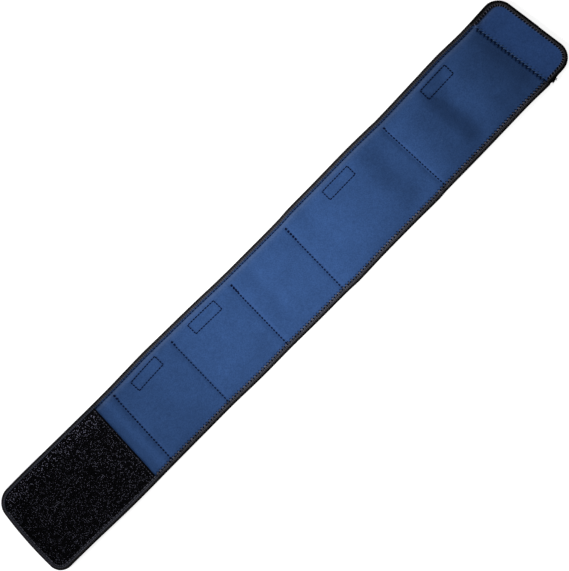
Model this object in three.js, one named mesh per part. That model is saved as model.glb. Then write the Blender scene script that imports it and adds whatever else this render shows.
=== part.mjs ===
// Weighted compression belt, lying open on a flat surface with its inner face up.
// Millimetres, +Z up. +X runs along it from the hook panel to the end tab, +Y towards the pocket mouths.
// A neoprene main sheet and a shorter pocket sheet under it are sewn together along straight seams, which
// makes five pockets; four of them hold a flat weight pack and are shut by a small closure. A hook panel
// covers one end, an end tab is joined on at the other by a zigzag seam, and folded tape binds every edge.
import * as THREE from 'three';

// Overall size
const BELT_LENGTH = 832;
const BELT_WIDTH = 114.3;

// Cloth, tape and panel
const MAIN_THICKNESS = 3.0;
const POCKET_THICKNESS = 2.5;
const HOOK_PANEL_THICKNESS = 1.2;
const TAPE = { thickness: 0.8, lap: 6.2 };
const END_TAPE = { thickness: 1.0, lap: 7.5 };
const CLEARANCE = 0.35;

// Seams and pockets
const SEAM_ALLOWANCE = 5;
const POCKET_MOUTH_DROP = 11.5;
const RAMP_LENGTH = 12;
const TAB_BLEND_LENGTH = 9;
const PANEL_STEP = 4;
const UPPER_EDGE_DROP = 0.5;

// Pockets longer than this share of the belt get twice as many cells
const WIDE_POCKET = 0.12;

// Weight packs, one in each closed pocket
const PACK_LENGTH = 64;
const PACK_CORNER = 6;
const PACK_HEADROOM = 1.0;
const PACK_ABOVE_EDGE = 17;
const PACK_BELOW_CLOSURE = 3.5;

// Closures under the pocket mouths
const CLOSURE_LENGTH = 43;
const CLOSURE_WIDTH = 15;
const CLOSURE_THICKNESS = 1.1;
const CLOSURE_DROP = 12.5;
const CLOSURE_MARGIN = 18;

// How the cloth lies
const SAG = 0.9;
const SWELL_HEIGHT = 5.2;
const LOWER_SWELL_REACH = 28;
const UPPER_SWELL_REACH = 22;

// Rounded corners, and the bow of the two cut ends
const CORNER = { hookUpper: 19, hookLower: 18.5, tabUpper: 17, tabLower: 24 };
const HOOK_END_BOW = 1.1;
const TAB_END_BOW = 0.4;

// The cut end of the end tab's tape stands out a little beside the zigzag seam, on the lower edge.
const TAIL_FROM_SEAM = 6;
const TAIL_LENGTH = 7;
const TAIL_OUT = 2.0;

// Long edges: how far along the belt, and where each edge runs as a share of half the width
const OUTLINE = [
  { along: 0.000, upper: 1.018, lower: -0.955 },
  { along: 0.060, upper: 1.028, lower: -0.966 },
  { along: 0.142, upper: 1.010, lower: -0.998 },
  { along: 0.224, upper: 1.000, lower: -0.992 },
  { along: 0.293, upper: 1.018, lower: -0.990 },
  { along: 0.334, upper: 1.008, lower: -0.990 },
  { along: 0.389, upper: 0.994, lower: -1.010 },
  { along: 0.446, upper: 0.968, lower: -1.006 },
  { along: 0.499, upper: 0.964, lower: -1.016 },
  { along: 0.554, upper: 0.966, lower: -1.018 },
  { along: 0.576, upper: 0.984, lower: -1.030 },
  { along: 0.622, upper: 0.988, lower: -1.012 },
  { along: 0.688, upper: 1.000, lower: -1.006 },
  { along: 0.731, upper: 0.990, lower: -1.012 },
  { along: 0.747, upper: 0.982, lower: -0.998 },
  { along: 0.814, upper: 1.010, lower: -0.988 },
  { along: 0.868, upper: 1.034, lower: -0.972 },
  { along: 0.910, upper: 1.020, lower: -0.960 },
  { along: 0.935, upper: 1.030, lower: -0.964 },
  { along: 0.967, upper: 1.050, lower: -0.954 },
  { along: 1.000, upper: 1.050, lower: -0.930 },
];

// Lines across the belt, by where they meet its upper and lower edge as shares of the length
const HOOK_END = { upper: 0.0075, lower: -0.0020 };
const TAB_END = { upper: 0.9856, lower: 1.0040 };
const HOOK_BORDER = { upper: 0.1977, lower: 0.1902 };

// Seams in order; pinch is the share of the cloth's thickness that the stitching presses away
const SEAMS = [
  { name: 'a', upper: 0.2269, lower: 0.2202, pinch: 0.30 },
  { name: 'b', upper: 0.3358, lower: 0.3326, pinch: 0.30 },
  { name: 'c', upper: 0.4467, lower: 0.4439, pinch: 0.30 },
  { name: 'd', upper: 0.5553, lower: 0.5527, pinch: 0.30 },
  { name: 'e', upper: 0.7440, lower: 0.7494, pinch: 0.30 },
  { name: 'zigzag', upper: 0.9318, lower: 0.9504, pinch: 0.55 },
];
const [SEAM_A] = SEAMS;
const ZIGZAG = SEAMS[SEAMS.length - 1];

// Swells of the main sheet in each pocket, as shares of the way from its first seam to its second, each with
// its lift as a share of the highest swell
const SWELLS = [
  { pocket: 0, start: 0.00, crestFrom: 0.50, crestTo: 0.60, end: 1.00, lift: 0.70 },
  { pocket: 1, start: 0.00, crestFrom: 0.45, crestTo: 0.55, end: 1.00, lift: 0.65 },
  { pocket: 2, start: 0.00, crestFrom: 0.09, crestTo: 0.13, end: 0.36, lift: 0.27 },
  { pocket: 2, start: 0.26, crestFrom: 0.47, crestTo: 0.60, end: 1.00, lift: 0.42 },
  { pocket: 3, start: 0.06, crestFrom: 0.32, crestTo: 0.66, end: 0.89, lift: 1.00 },
  { pocket: 4, start: 0.00, crestFrom: 0.14, crestTo: 0.31, end: 0.50, lift: 1.00 },
  { pocket: 4, start: 0.45, crestFrom: 0.63, crestTo: 0.74, end: 1.00, lift: 0.92 },
];

// Weight packs and closures: where their middle lies, as a share of the way across their pocket
const PACKS = [
  { name: 'weight_pack_1', pocket: 0, middle: 0.50 },
  { name: 'weight_pack_2', pocket: 1, middle: 0.50 },
  { name: 'weight_pack_3', pocket: 3, middle: 0.40 },
  { name: 'weight_pack_4', pocket: 4, middle: 0.76 },
];
const CLOSURES = [
  { name: 'pocket_closure_1', pocket: 0, middle: 0.50 },
  { name: 'pocket_closure_2', pocket: 1, middle: 0.50 },
  { name: 'pocket_closure_3', pocket: 3, middle: 0.50 },
  { name: 'pocket_closure_4', pocket: 4, middle: 0.51 },
];

// A ripple of the whole belt, which lifts both sheets and their binding off the surface
const RIPPLE = { along: 0.572, reach: 0.026 };
const RIPPLE_HEIGHT = 1.2;

const HALF = BELT_WIDTH / 2;
const REST_HEIGHT = TAPE.thickness + CLEARANCE;
const PACK_WIDTH = BELT_WIDTH - PACK_ABOVE_EDGE - CLOSURE_DROP - CLOSURE_WIDTH - PACK_BELOW_CLOSURE;
const PACK_MIDDLE = PACK_ABOVE_EDGE + PACK_WIDTH / 2 - HALF;

// Distances in from the edge where the cloth bends: at the tape's nose, past its lap, and where it lies flat
const NOSE = 2.2;
const RIM = Math.max(TAPE.lap, END_TAPE.lap) + 1;
const LEVEL = 22;

const clamp01 = (t) => Math.min(1, Math.max(0, t));
const lerp = (a, b, t) => a + (b - a) * t;
const ramp = (from, to, value) => clamp01((value - from) / (to - from));
const smooth = (from, to, value) => {
  const t = ramp(from, to, value);
  return t * t * (3 - 2 * t);
};
const ease = (from, to, value) => {
  const t = ramp(from, to, value);
  return t * (2 - t);
};

// Value of one column of the outline table at x, on a smooth curve through its rows
function edge(column, x) {
  const t = clamp01(x / BELT_LENGTH);
  const last = OUTLINE.length - 2;
  const next = OUTLINE.findIndex((row) => row.along > t);
  const k = next < 0 ? last : Math.max(0, next - 1);
  const row = (n) => OUTLINE[Math.min(OUTLINE.length - 1, Math.max(0, n))];
  const slope = (n) => {
    const run = row(n + 1).along - row(n - 1).along;
    return (row(n + 1)[column] - row(n - 1)[column]) / run;
  };
  const span = row(k + 1).along - row(k).along;
  const u = (t - row(k).along) / span;
  const bend = span * u * (1 - u);
  const straight = lerp(row(k)[column], row(k + 1)[column], u);
  const chord = (row(k + 1)[column] - row(k)[column]) / span;
  const curve = bend * ((1 - u) * (slope(k) - chord) - u * (slope(k + 1) - chord));
  return HALF * (straight + curve);
}

// Flat belt coordinates: x along the belt, and v across it from -HALF at the lower edge to HALF at the upper
const across = (x, v) => lerp(edge('lower', x), edge('upper', x), (v + HALF) / BELT_WIDTH);
const flat = (x, y) => {
  const low = edge('lower', x);
  return BELT_WIDTH * (y - low) / (edge('upper', x) - low) - HALF;
};
const lineX = (line, v) => BELT_LENGTH * lerp(line.lower, line.upper, (v + HALF) / BELT_WIDTH);

// Distance that a rounded corner takes off a cut end, at a distance from the long edge
function cornerCut(radius, fromEdge) {
  const rest = Math.max(0, radius - Math.max(0, fromEdge));
  return radius - Math.sqrt(radius * radius - rest * rest);
}
const cornerOf = (upper, lower, v) => (v > 0 ? upper : lower);
const bow = (depth, v) => depth * (1 - (v / HALF) ** 2);

function hookEndX(v) {
  const radius = cornerOf(CORNER.hookUpper, CORNER.hookLower, v);
  return lineX(HOOK_END, v) - bow(HOOK_END_BOW, v) + cornerCut(radius, HALF - Math.abs(v));
}
function tabEndX(v) {
  const radius = cornerOf(CORNER.tabUpper, CORNER.tabLower, v);
  return lineX(TAB_END, v) + bow(TAB_END_BOW, v) - cornerCut(radius, HALF - Math.abs(v));
}

// Distance from the nearest edge of the belt, round corners included
function fromRim(x, v) {
  const fromLong = HALF - Math.abs(v);
  const hookGap = x - lineX(HOOK_END, v) + bow(HOOK_END_BOW, v);
  const tabGap = lineX(TAB_END, v) + bow(TAB_END_BOW, v) - x;
  const ends = [
    { gap: hookGap, radius: cornerOf(CORNER.hookUpper, CORNER.hookLower, v) },
    { gap: tabGap, radius: cornerOf(CORNER.tabUpper, CORNER.tabLower, v) },
  ];
  return Math.min(...ends.map(({ gap, radius }) => {
    if (gap < radius && fromLong < radius) return radius - Math.hypot(radius - gap, radius - fromLong);
    return Math.min(gap, fromLong);
  }));
}

// Share of the way across a pocket
function pocketShare(pocket, x, v) {
  const from = lineX(SEAMS[pocket], v);
  return (x - from) / (lineX(SEAMS[pocket + 1], v) - from);
}
const pocketX = (pocket, share, v) => lerp(lineX(SEAMS[pocket], v), lineX(SEAMS[pocket + 1], v), share);

// Share of the thickness that stitching presses away; seams start below the pocket mouths
function pinch(x, v) {
  const sewn = 1 - smooth(HALF - POCKET_MOUTH_DROP - SEAM_ALLOWANCE, HALF - RIM, v);
  const nearest = SEAMS.map((seam) => {
    const away = Math.abs(x - lineX(seam, v)) / SEAM_ALLOWANCE;
    return seam.pinch * (1 - smooth(0, 1, away));
  });
  return sewn * Math.max(...nearest);
}

// Underside of whatever lies lowest: it rests on the tape at the rim and sags to the surface inside it, as far
// as the end tab, which its thicker tape keeps level
function base(x, v) {
  const seamX = lineX(ZIGZAG, v);
  const beforeTab = 1 - ramp(seamX - SEAM_ALLOWANCE, seamX, x);
  const sag = SAG * beforeTab * ramp(RIM, LEVEL, fromRim(x, v));
  const away = Math.abs(x / BELT_LENGTH - RIPPLE.along) / RIPPLE.reach;
  return REST_HEIGHT - sag + RIPPLE_HEIGHT * (1 - smooth(0, 1, away));
}

// How far the pocket sheet lifts the main sheet, which drops a little from the mouths to its upper edge
function cover(x, v) {
  const rampEnd = lineX(SEAM_A, v) - SEAM_ALLOWANCE;
  const alongBelt = ramp(rampEnd - RAMP_LENGTH, rampEnd - CLEARANCE, x);
  return alongBelt * (1 - UPPER_EDGE_DROP * ramp(HALF - POCKET_MOUTH_DROP, HALF, v));
}

function closureSwell(x, v) {
  const lowEnd = HALF - CLOSURE_DROP - CLOSURE_WIDTH;
  const rise = ramp(lowEnd - CLOSURE_MARGIN, lowEnd, v);
  const acrossBelt = rise * (1 - ramp(HALF - POCKET_MOUTH_DROP, HALF - RIM, v));
  return Math.max(...CLOSURES.map(({ pocket, middle }) => {
    const away = Math.abs(x - pocketX(pocket, middle, v)) - CLOSURE_LENGTH / 2;
    return (CLOSURE_THICKNESS + 2 * CLEARANCE) * acrossBelt * (1 - smooth(1, CLOSURE_MARGIN, away));
  }));
}

function packSwell(x, v) {
  const side = ease(-HALF + RIM, -HALF + RIM + LOWER_SWELL_REACH, v)
    * ease(-HALF + RIM, -HALF + RIM + UPPER_SWELL_REACH, -v);
  return SWELLS.reduce((sum, { pocket, start, crestFrom, crestTo, end, lift }) => {
    const share = pocketShare(pocket, x, v);
    if (share <= start || share >= end) return sum;
    const rise = start === 0 ? ease(0, crestFrom, share) : smooth(start, crestFrom, share);
    const fall = end === 1 ? ease(0, 1 - crestTo, 1 - share) : 1 - smooth(crestTo, end, share);
    return sum + side * SWELL_HEIGHT * lift * rise * fall;
  }, 0);
}

const pocketTop = (x, v) => base(x, v) + POCKET_THICKNESS * (1 - pinch(x, v));
function mainBottom(x, v) {
  const underneath = POCKET_THICKNESS * (1 - pinch(x, v)) + CLEARANCE;
  return base(x, v) + cover(x, v) * underneath + Math.max(packSwell(x, v), closureSwell(x, v));
}
const mainTop = (x, v) => mainBottom(x, v) + MAIN_THICKNESS * (1 - pinch(x, v));

// The end tab is flush with the main sheet at the zigzag seam and takes its own thickness soon after it.
function tabTop(x, v) {
  const seamX = lineX(ZIGZAG, v);
  const atSeam = mainTop(seamX, v) - base(seamX, v);
  return base(x, v) + lerp(atSeam, MAIN_THICKNESS, ramp(seamX, seamX + TAB_BLEND_LENGTH, x));
}
const hookBottom = (x, v) => mainTop(x, v) + CLEARANCE;
const hookTop = (x, v) => hookBottom(x, v) + HOOK_PANEL_THICKNESS;

// What the edge binding folds over: only the main sheet reaches the upper edge, and the panel adds to its end
const edgeBottom = (x, v) => (v > 0 ? mainBottom(x, v) : base(x, v));
function edgeTop(x, v) {
  const border = lineX(HOOK_BORDER, v);
  const onPanel = 1 - ramp(border + CLEARANCE, border + PANEL_STEP, x);
  return mainTop(x, v) + onPanel * (HOOK_PANEL_THICKNESS + CLEARANCE);
}

// Rows of the grid across the belt: at distances from each long edge, and evenly between them
const LOWER_ROWS = [0, NOSE, RIM, (RIM + LEVEL) / 2, LEVEL];
const UPPER_ROWS = [0, NOSE, RIM, POCKET_MOUTH_DROP, LEVEL];
const MIDDLE_CELLS = 5;
function gridRows() {
  const lower = LOWER_ROWS.map((d) => -HALF + d);
  const upper = UPPER_ROWS.map((d) => HALF - d).reverse();
  const middle = Array.from({ length: MIDDLE_CELLS - 1 }, (_, n) => {
    return lerp(-HALF + LEVEL, HALF - LEVEL, (n + 1) / MIDDLE_CELLS);
  });
  return [...lower, ...middle, ...upper];
}
const ROWS = gridRows();
const LAST_ROW = ROWS.length - 1;
const MOUTH_ROW = LAST_ROW - UPPER_ROWS.indexOf(POCKET_MOUTH_DROP);

// Columns of the grid along the belt: each stop is a line across the belt and the cells that lead up to it
function gridColumns() {
  const shifted = (line, by) => (v) => lineX(line, v) + by;
  const stops = [
    { name: 'hookEnd', at: hookEndX, cells: 1 },
    { name: 'hookRim', at: (v) => hookEndX(v) + RIM, cells: 1 },
    { name: 'hookLevel', at: (v) => hookEndX(v) + LEVEL, cells: 1 },
    { name: 'hookBorder', at: shifted(HOOK_BORDER, 0), cells: 6 },
    { name: 'panelStep', at: shifted(HOOK_BORDER, PANEL_STEP), cells: 1 },
    { name: 'rampStart', at: shifted(SEAM_A, -SEAM_ALLOWANCE - RAMP_LENGTH), cells: 1 },
    { name: 'pocketStart', at: shifted(SEAM_A, -SEAM_ALLOWANCE), cells: 2 },
    { name: 'a', at: shifted(SEAM_A, 0), cells: 1 },
  ];
  SEAMS.slice(1).forEach((seam, n) => {
    const pocketCells = seam.upper - SEAMS[n].upper > WIDE_POCKET ? 10 : 5;
    stops.push({ name: `after_${SEAMS[n].name}`, at: shifted(SEAMS[n], SEAM_ALLOWANCE), cells: 1 });
    stops.push({ name: `before_${seam.name}`, at: shifted(seam, -SEAM_ALLOWANCE), cells: pocketCells });
    stops.push({ name: seam.name, at: shifted(seam, 0), cells: 1 });
  });
  stops.push({ name: 'tabBlend', at: shifted(ZIGZAG, TAB_BLEND_LENGTH), cells: 3 });
  stops.push({ name: 'tabEnd', at: tabEndX, cells: 3 });
  const columns = [stops[0].at];
  const index = { hookEnd: 0 };
  for (let n = 1; n < stops.length; n += 1) {
    for (let c = 1; c <= stops[n].cells; c += 1) {
      const share = c / stops[n].cells;
      columns.push((v) => lerp(stops[n - 1].at(v), stops[n].at(v), share));
    }
    index[stops[n].name] = columns.length - 1;
  }
  return { columns, index };
}
const { columns: COLUMNS, index: COLUMN } = gridColumns();
const LAST_COLUMN = COLUMNS.length - 1;

function gridPoint(i, j) {
  const v = ROWS[j];
  const x = COLUMNS[i](v);
  return new THREE.Vector2(x, across(x, v));
}

// Grid places round the whole outline, anticlockwise from the lower hook corner
function outlineKeys() {
  const keys = [];
  for (let i = 0; i < LAST_COLUMN; i += 1) keys.push([i, 0]);
  for (let j = 0; j < LAST_ROW; j += 1) keys.push([LAST_COLUMN, j]);
  for (let i = LAST_COLUMN; i > 0; i -= 1) keys.push([i, LAST_ROW]);
  for (let j = LAST_ROW; j > 0; j -= 1) keys.push([0, j]);
  return keys;
}

// Inward direction at each outline place, lengthened at bends so that an offset keeps its distance
function inwardNormals() {
  const keys = outlineKeys();
  const points = keys.map(([i, j]) => gridPoint(i, j));
  const normals = new Map();
  keys.forEach(([i, j], n) => {
    const before = points[(n + points.length - 1) % points.length];
    const after = points[(n + 1) % points.length];
    const arrive = points[n].clone().sub(before).normalize();
    const leave = after.clone().sub(points[n]).normalize();
    const inward = new THREE.Vector2(-arrive.y - leave.y, arrive.x + leave.x).normalize();
    const stretch = 1 / inward.dot(new THREE.Vector2(-arrive.y, arrive.x));
    normals.set(`${i},${j}`, inward.multiplyScalar(stretch));
  });
  return normals;
}
const INWARD = inwardNormals();

// A grid place, moved in from the outline where it lies on it
function insetPoint(i, j, inset) {
  const point = gridPoint(i, j);
  const inward = INWARD.get(`${i},${j}`);
  return inward ? point.addScaledVector(inward, inset) : point;
}

function closedMesh(name, material, vertices, triangles) {
  const geometry = new THREE.BufferGeometry();
  geometry.setAttribute('position', new THREE.Float32BufferAttribute(vertices.flat(), 3));
  geometry.setIndex(triangles.flat());
  geometry.computeVertexNormals();
  const mesh = new THREE.Mesh(geometry, material);
  mesh.name = name;
  return mesh;
}

// A closed slab over a grid of plan points, between a lower and an upper surface
function slab(name, material, cells, place, bottom, top) {
  const [along, acrossCells] = cells;
  const width = acrossCells + 1;
  const count = (along + 1) * width;
  const at = (i, j) => i * width + j;
  const lower = [];
  const upper = [];
  for (let i = 0; i <= along; i += 1) {
    for (let j = 0; j <= acrossCells; j += 1) {
      const { x, y } = place(i, j);
      const v = flat(x, y);
      lower.push([x, y, bottom(x, v)]);
      upper.push([x, y, top(x, v)]);
    }
  }
  const triangles = [];
  for (let i = 0; i < along; i += 1) {
    for (let j = 0; j < acrossCells; j += 1) {
      const [p, q, r, s] = [at(i, j), at(i + 1, j), at(i + 1, j + 1), at(i, j + 1)];
      triangles.push([count + p, count + q, count + r], [count + p, count + r, count + s]);
      triangles.push([p, r, q], [p, s, r]);
    }
  }
  const rim = [];
  for (let i = 0; i < along; i += 1) rim.push(at(i, 0));
  for (let j = 0; j < acrossCells; j += 1) rim.push(at(along, j));
  for (let i = along; i > 0; i -= 1) rim.push(at(i, acrossCells));
  for (let j = acrossCells; j > 0; j -= 1) rim.push(at(0, j));
  rim.forEach((p, n) => {
    const q = rim[(n + 1) % rim.length];
    triangles.push([p, q, count + q], [p, count + q, count + p]);
  });
  return closedMesh(name, material, [...lower, ...upper], triangles);
}

function makeMainSheet(material) {
  const inset = TAPE.thickness + CLEARANCE;
  const place = (i, j) => {
    const point = insetPoint(i, j, inset);
    if (i === COLUMN.zigzag) point.x -= CLEARANCE / 2;
    return point;
  };
  return slab('main_sheet', material, [COLUMN.zigzag, LAST_ROW], place, mainBottom, mainTop);
}

function makeEndTab(material) {
  const inset = END_TAPE.thickness + CLEARANCE;
  const place = (i, j) => {
    const point = insetPoint(COLUMN.zigzag + i, j, inset);
    if (i === 0) point.x += CLEARANCE / 2;
    return point;
  };
  const bottom = (x, v) => base(x, v) + END_TAPE.thickness - TAPE.thickness;
  return slab('end_tab', material, [LAST_COLUMN - COLUMN.zigzag, LAST_ROW], place, bottom, tabTop);
}

function makePocketSheet(material) {
  const inset = TAPE.thickness + CLEARANCE;
  const place = (i, j) => {
    const point = insetPoint(COLUMN.pocketStart + i, j, inset);
    if (COLUMN.pocketStart + i === COLUMN.zigzag) point.x -= CLEARANCE / 2;
    return point;
  };
  const cells = [COLUMN.zigzag - COLUMN.pocketStart, MOUTH_ROW];
  return slab('pocket_sheet', material, cells, place, base, pocketTop);
}

function makeHookPanel(material) {
  const place = (i, j) => insetPoint(i, j, TAPE.thickness + CLEARANCE);
  return slab('hook_panel', material, [COLUMN.hookBorder, LAST_ROW], place, hookBottom, hookTop);
}

// A flat pack with rounded corners that fills its pocket up to a little headroom
function makeWeightPack({ name, pocket, middle }, material) {
  const cells = 6;
  const place = (i, j) => {
    const v = PACK_MIDDLE + PACK_WIDTH * (j / cells - 0.5);
    const x = pocketX(pocket, middle, v) + PACK_LENGTH * (i / cells - 0.5);
    const point = new THREE.Vector2(x, across(x, v));
    const corner = (i === 0 || i === cells) && (j === 0 || j === cells);
    const cut = corner ? PACK_CORNER * (1 - Math.SQRT1_2) : 0;
    point.x += i === 0 ? cut : -cut;
    point.y += j === 0 ? cut : -cut;
    return point;
  };
  const bottom = (x, v) => pocketTop(x, v) + CLEARANCE;
  const top = (x, v) => mainBottom(x, v) - PACK_HEADROOM;
  return slab(name, material, [cells, cells], place, bottom, top);
}

function makeClosure({ name, pocket, middle }, material) {
  const cells = [6, 2];
  const place = (i, j) => {
    const v = HALF - CLOSURE_DROP - CLOSURE_WIDTH * (1 - j / cells[1]);
    const x = pocketX(pocket, middle, v) + CLOSURE_LENGTH * (i / cells[0] - 0.5);
    return new THREE.Vector2(x, across(x, v));
  };
  const bottom = (x, v) => pocketTop(x, v) + CLEARANCE;
  const top = (x, v) => bottom(x, v) + CLOSURE_THICKNESS;
  return slab(name, material, cells, place, bottom, top);
}

// One place on a binding: its outline point, its inward direction and its cross-section, a folded tape
function tapeSection(point, inward, { tape, bottom, top }, out) {
  const { thickness, lap } = tape;
  const level = (d) => {
    const place = point.clone().addScaledVector(inward, d);
    const v = flat(place.x, place.y);
    return { low: bottom(place.x, v) - CLEARANCE, high: top(place.x, v) + CLEARANCE };
  };
  const nose = level(thickness + CLEARANCE);
  const lip = level(lap);
  const extra = thickness - TAPE.thickness;
  const middle = (nose.low + nose.high) / 2;
  const rounding = 0.3 * thickness;
  const section = [
    [lap, lip.high + thickness],
    [thickness, nose.high + thickness],
    [rounding, nose.high + thickness - rounding],
    [rounding / 2 - out / 2, nose.high - rounding],
    [-out, middle],
    [rounding / 2 - out / 2, nose.low + rounding],
    [rounding, nose.low + extra - thickness + rounding],
    [thickness, nose.low + extra - thickness],
    [lap, lip.low + extra - thickness],
    [lap, lip.low + extra],
    [thickness, nose.low + extra],
    [thickness, nose.high],
    [lap, lip.high],
  ];
  return section.map(([d, z]) => {
    const place = point.clone().addScaledVector(inward, d);
    return [place.x, place.y, z, d];
  });
}

// A tape swept along a stretch of the outline, with a flat cap at each end
function makeBinding(name, material, keys, fold, shift, tail) {
  const rings = keys.map(([i, j]) => {
    const point = gridPoint(i, j);
    if (i === COLUMN.zigzag) point.x += shift;
    return tapeSection(point, INWARD.get(`${i},${j}`), fold, tail(point));
  });
  const size = rings[0].length;
  const vertices = rings.flat().map(([x, y, z]) => [x, y, z]);
  const triangles = [];
  for (let n = 0; n + 1 < rings.length; n += 1) {
    for (let k = 0; k < size; k += 1) {
      const next = (k + 1) % size;
      const [p, q, r, s] = [n * size + k, n * size + next, (n + 1) * size + next, (n + 1) * size + k];
      triangles.push([p, q, r], [p, r, s]);
    }
  }
  [0, rings.length - 1].forEach((n) => {
    const contour = rings[n].map(([, , z, d]) => new THREE.Vector2(d, z));
    THREE.ShapeUtils.triangulateShape(contour, []).forEach(([a, b, c]) => {
      const cap = [a, b, c].map((k) => n * size + k);
      triangles.push(n === 0 ? cap.reverse() : cap);
    });
  });
  return closedMesh(name, material, vertices, triangles);
}

function makeEdgeBinding(material) {
  const keys = [];
  for (let i = COLUMN.zigzag; i > 0; i -= 1) keys.push([i, LAST_ROW]);
  for (let j = LAST_ROW; j > 0; j -= 1) keys.push([0, j]);
  for (let i = 0; i <= COLUMN.zigzag; i += 1) keys.push([i, 0]);
  const fold = { tape: TAPE, bottom: edgeBottom, top: edgeTop };
  return makeBinding('edge_binding', material, keys, fold, -CLEARANCE / 2, () => 0);
}

function makeEndBinding(material) {
  const keys = [];
  for (let i = COLUMN.zigzag; i < LAST_COLUMN; i += 1) keys.push([i, 0]);
  for (let j = 0; j < LAST_ROW; j += 1) keys.push([LAST_COLUMN, j]);
  for (let i = LAST_COLUMN; i >= COLUMN.zigzag; i -= 1) keys.push([i, LAST_ROW]);
  const tailX = lineX(ZIGZAG, -HALF) + TAIL_FROM_SEAM;
  const tail = ({ x, y }) => (y < 0 && Math.abs(x - tailX) < TAIL_LENGTH / 2 ? TAIL_OUT : 0);
  const fold = { tape: END_TAPE, bottom: base, top: tabTop };
  return makeBinding('end_binding', material, keys, fold, CLEARANCE / 2, tail);
}

function cloth(color, roughness) {
  return new THREE.MeshStandardMaterial({ color, roughness, metalness: 0 });
}
const BLUE_NEOPRENE = cloth(0x33538a, 0.85);
const BLACK_TAPE = cloth(0x2b2829, 0.8);
const BLACK_HOOK = cloth(0x0c0c0d, 0.7);
const GREY_PACK = cloth(0x55575a, 0.75);

const belt = new THREE.Group();
belt.add(
  makeMainSheet(BLUE_NEOPRENE),
  makePocketSheet(BLUE_NEOPRENE),
  makeEndTab(BLUE_NEOPRENE),
  makeHookPanel(BLACK_HOOK),
  makeEdgeBinding(BLACK_TAPE),
  makeEndBinding(BLACK_TAPE),
  ...PACKS.map((pack) => makeWeightPack(pack, GREY_PACK)),
  ...CLOSURES.map((closure) => makeClosure(closure, BLACK_HOOK)),
);

// Stand the belt on z = 0 with the origin under the middle of its outline.
const box = new THREE.Box3().setFromObject(belt);
const middle = box.getCenter(new THREE.Vector3());
belt.position.set(-middle.x, -middle.y, -box.min.z);

export default belt;
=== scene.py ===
import math

import bmesh
import bpy
import numpy as np
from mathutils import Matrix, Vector


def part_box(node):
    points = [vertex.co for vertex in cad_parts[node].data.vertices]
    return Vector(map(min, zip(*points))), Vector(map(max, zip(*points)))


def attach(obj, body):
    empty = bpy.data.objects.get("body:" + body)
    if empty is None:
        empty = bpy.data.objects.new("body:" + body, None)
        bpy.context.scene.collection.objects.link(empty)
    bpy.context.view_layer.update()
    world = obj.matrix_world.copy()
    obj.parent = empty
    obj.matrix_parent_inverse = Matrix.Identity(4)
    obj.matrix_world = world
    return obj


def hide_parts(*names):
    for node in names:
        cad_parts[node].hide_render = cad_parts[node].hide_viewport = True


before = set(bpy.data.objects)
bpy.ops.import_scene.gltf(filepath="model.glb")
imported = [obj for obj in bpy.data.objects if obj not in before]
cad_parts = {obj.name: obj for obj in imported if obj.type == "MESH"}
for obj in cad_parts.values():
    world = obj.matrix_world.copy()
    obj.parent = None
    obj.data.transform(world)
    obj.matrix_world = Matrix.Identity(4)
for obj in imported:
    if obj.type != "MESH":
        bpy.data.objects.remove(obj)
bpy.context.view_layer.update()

# Overall size, in millimetres as in the CAD source
BELT_LENGTH = 832.0
BELT_WIDTH = 114.3
HALF = BELT_WIDTH / 2

# Cloth, tape and panel
MAIN_THICKNESS = 3.0
POCKET_THICKNESS = 2.5
HOOK_PANEL_THICKNESS = 1.2
TAPE = {"thickness": 0.8, "lap": 6.2, "shown_lap": 4.5, "flat": 0.0155}
END_TAPE = {"thickness": 1.0, "lap": 7.5, "shown_lap": 5.5, "flat": 0.0165}
CLEARANCE = 0.35

# Seams and pockets
SEAM_ALLOWANCE = 5.0
POCKET_MOUTH_DROP = 11.5
RAMP_LENGTH = 12.0
TAB_BLEND_LENGTH = 9.0
PANEL_STEP = 4.0
UPPER_EDGE_DROP = 0.5
BRIDGED = 0.62
SETTLE = {"depth": 1.4, "reach": 22.0}
JOIN_GAP = 0.02

# Weight packs and closures
PACK_LENGTH = 64.0
PACK_CORNER = 9.0
PACK_HEADROOM = 0.9
PACK_ABOVE_EDGE = 17.0
PACK_BELOW_CLOSURE = 3.5
CLOSURE_LENGTH = 43.0
CLOSURE_WIDTH = 15.0
CLOSURE_THICKNESS = 1.1
CLOSURE_DROP = 12.5
CLOSURE_MARGIN = 18.0
PACK_WIDTH = BELT_WIDTH - PACK_ABOVE_EDGE - CLOSURE_DROP - CLOSURE_WIDTH - PACK_BELOW_CLOSURE
PACK_MIDDLE = PACK_ABOVE_EDGE + PACK_WIDTH / 2 - HALF

# How the cloth lies
SAG = 0.9
SWELL_HEIGHT = 5.2
LOWER_SWELL_REACH = 28.0
UPPER_SWELL_REACH = 22.0
RIPPLE_ALONG = 0.572
RIPPLE_REACH = 0.026
RIPPLE_HEIGHT = 1.2
REST_HEIGHT = TAPE["thickness"] + CLEARANCE
RIM = max(TAPE["lap"], END_TAPE["lap"]) + 1
LEVEL = 22.0

# Rounded corners, and the bow of the two cut ends
CORNER = {"hook_upper": 18.6, "hook_lower": 15.6, "tab_upper": 18.2, "tab_lower": 22.5}
HOOK_END_BOW = 3.3
TAB_END_BOW = 0.0

# The cut end of the end tab's tape
TAIL_FROM_SEAM = 6.5
TAIL_LENGTH = 7.6
TAIL_OUT = 1.7
TIGHTER = 0.35
LAST_STRETCH = {"length": 20.0, "out": 0.5}

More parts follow.
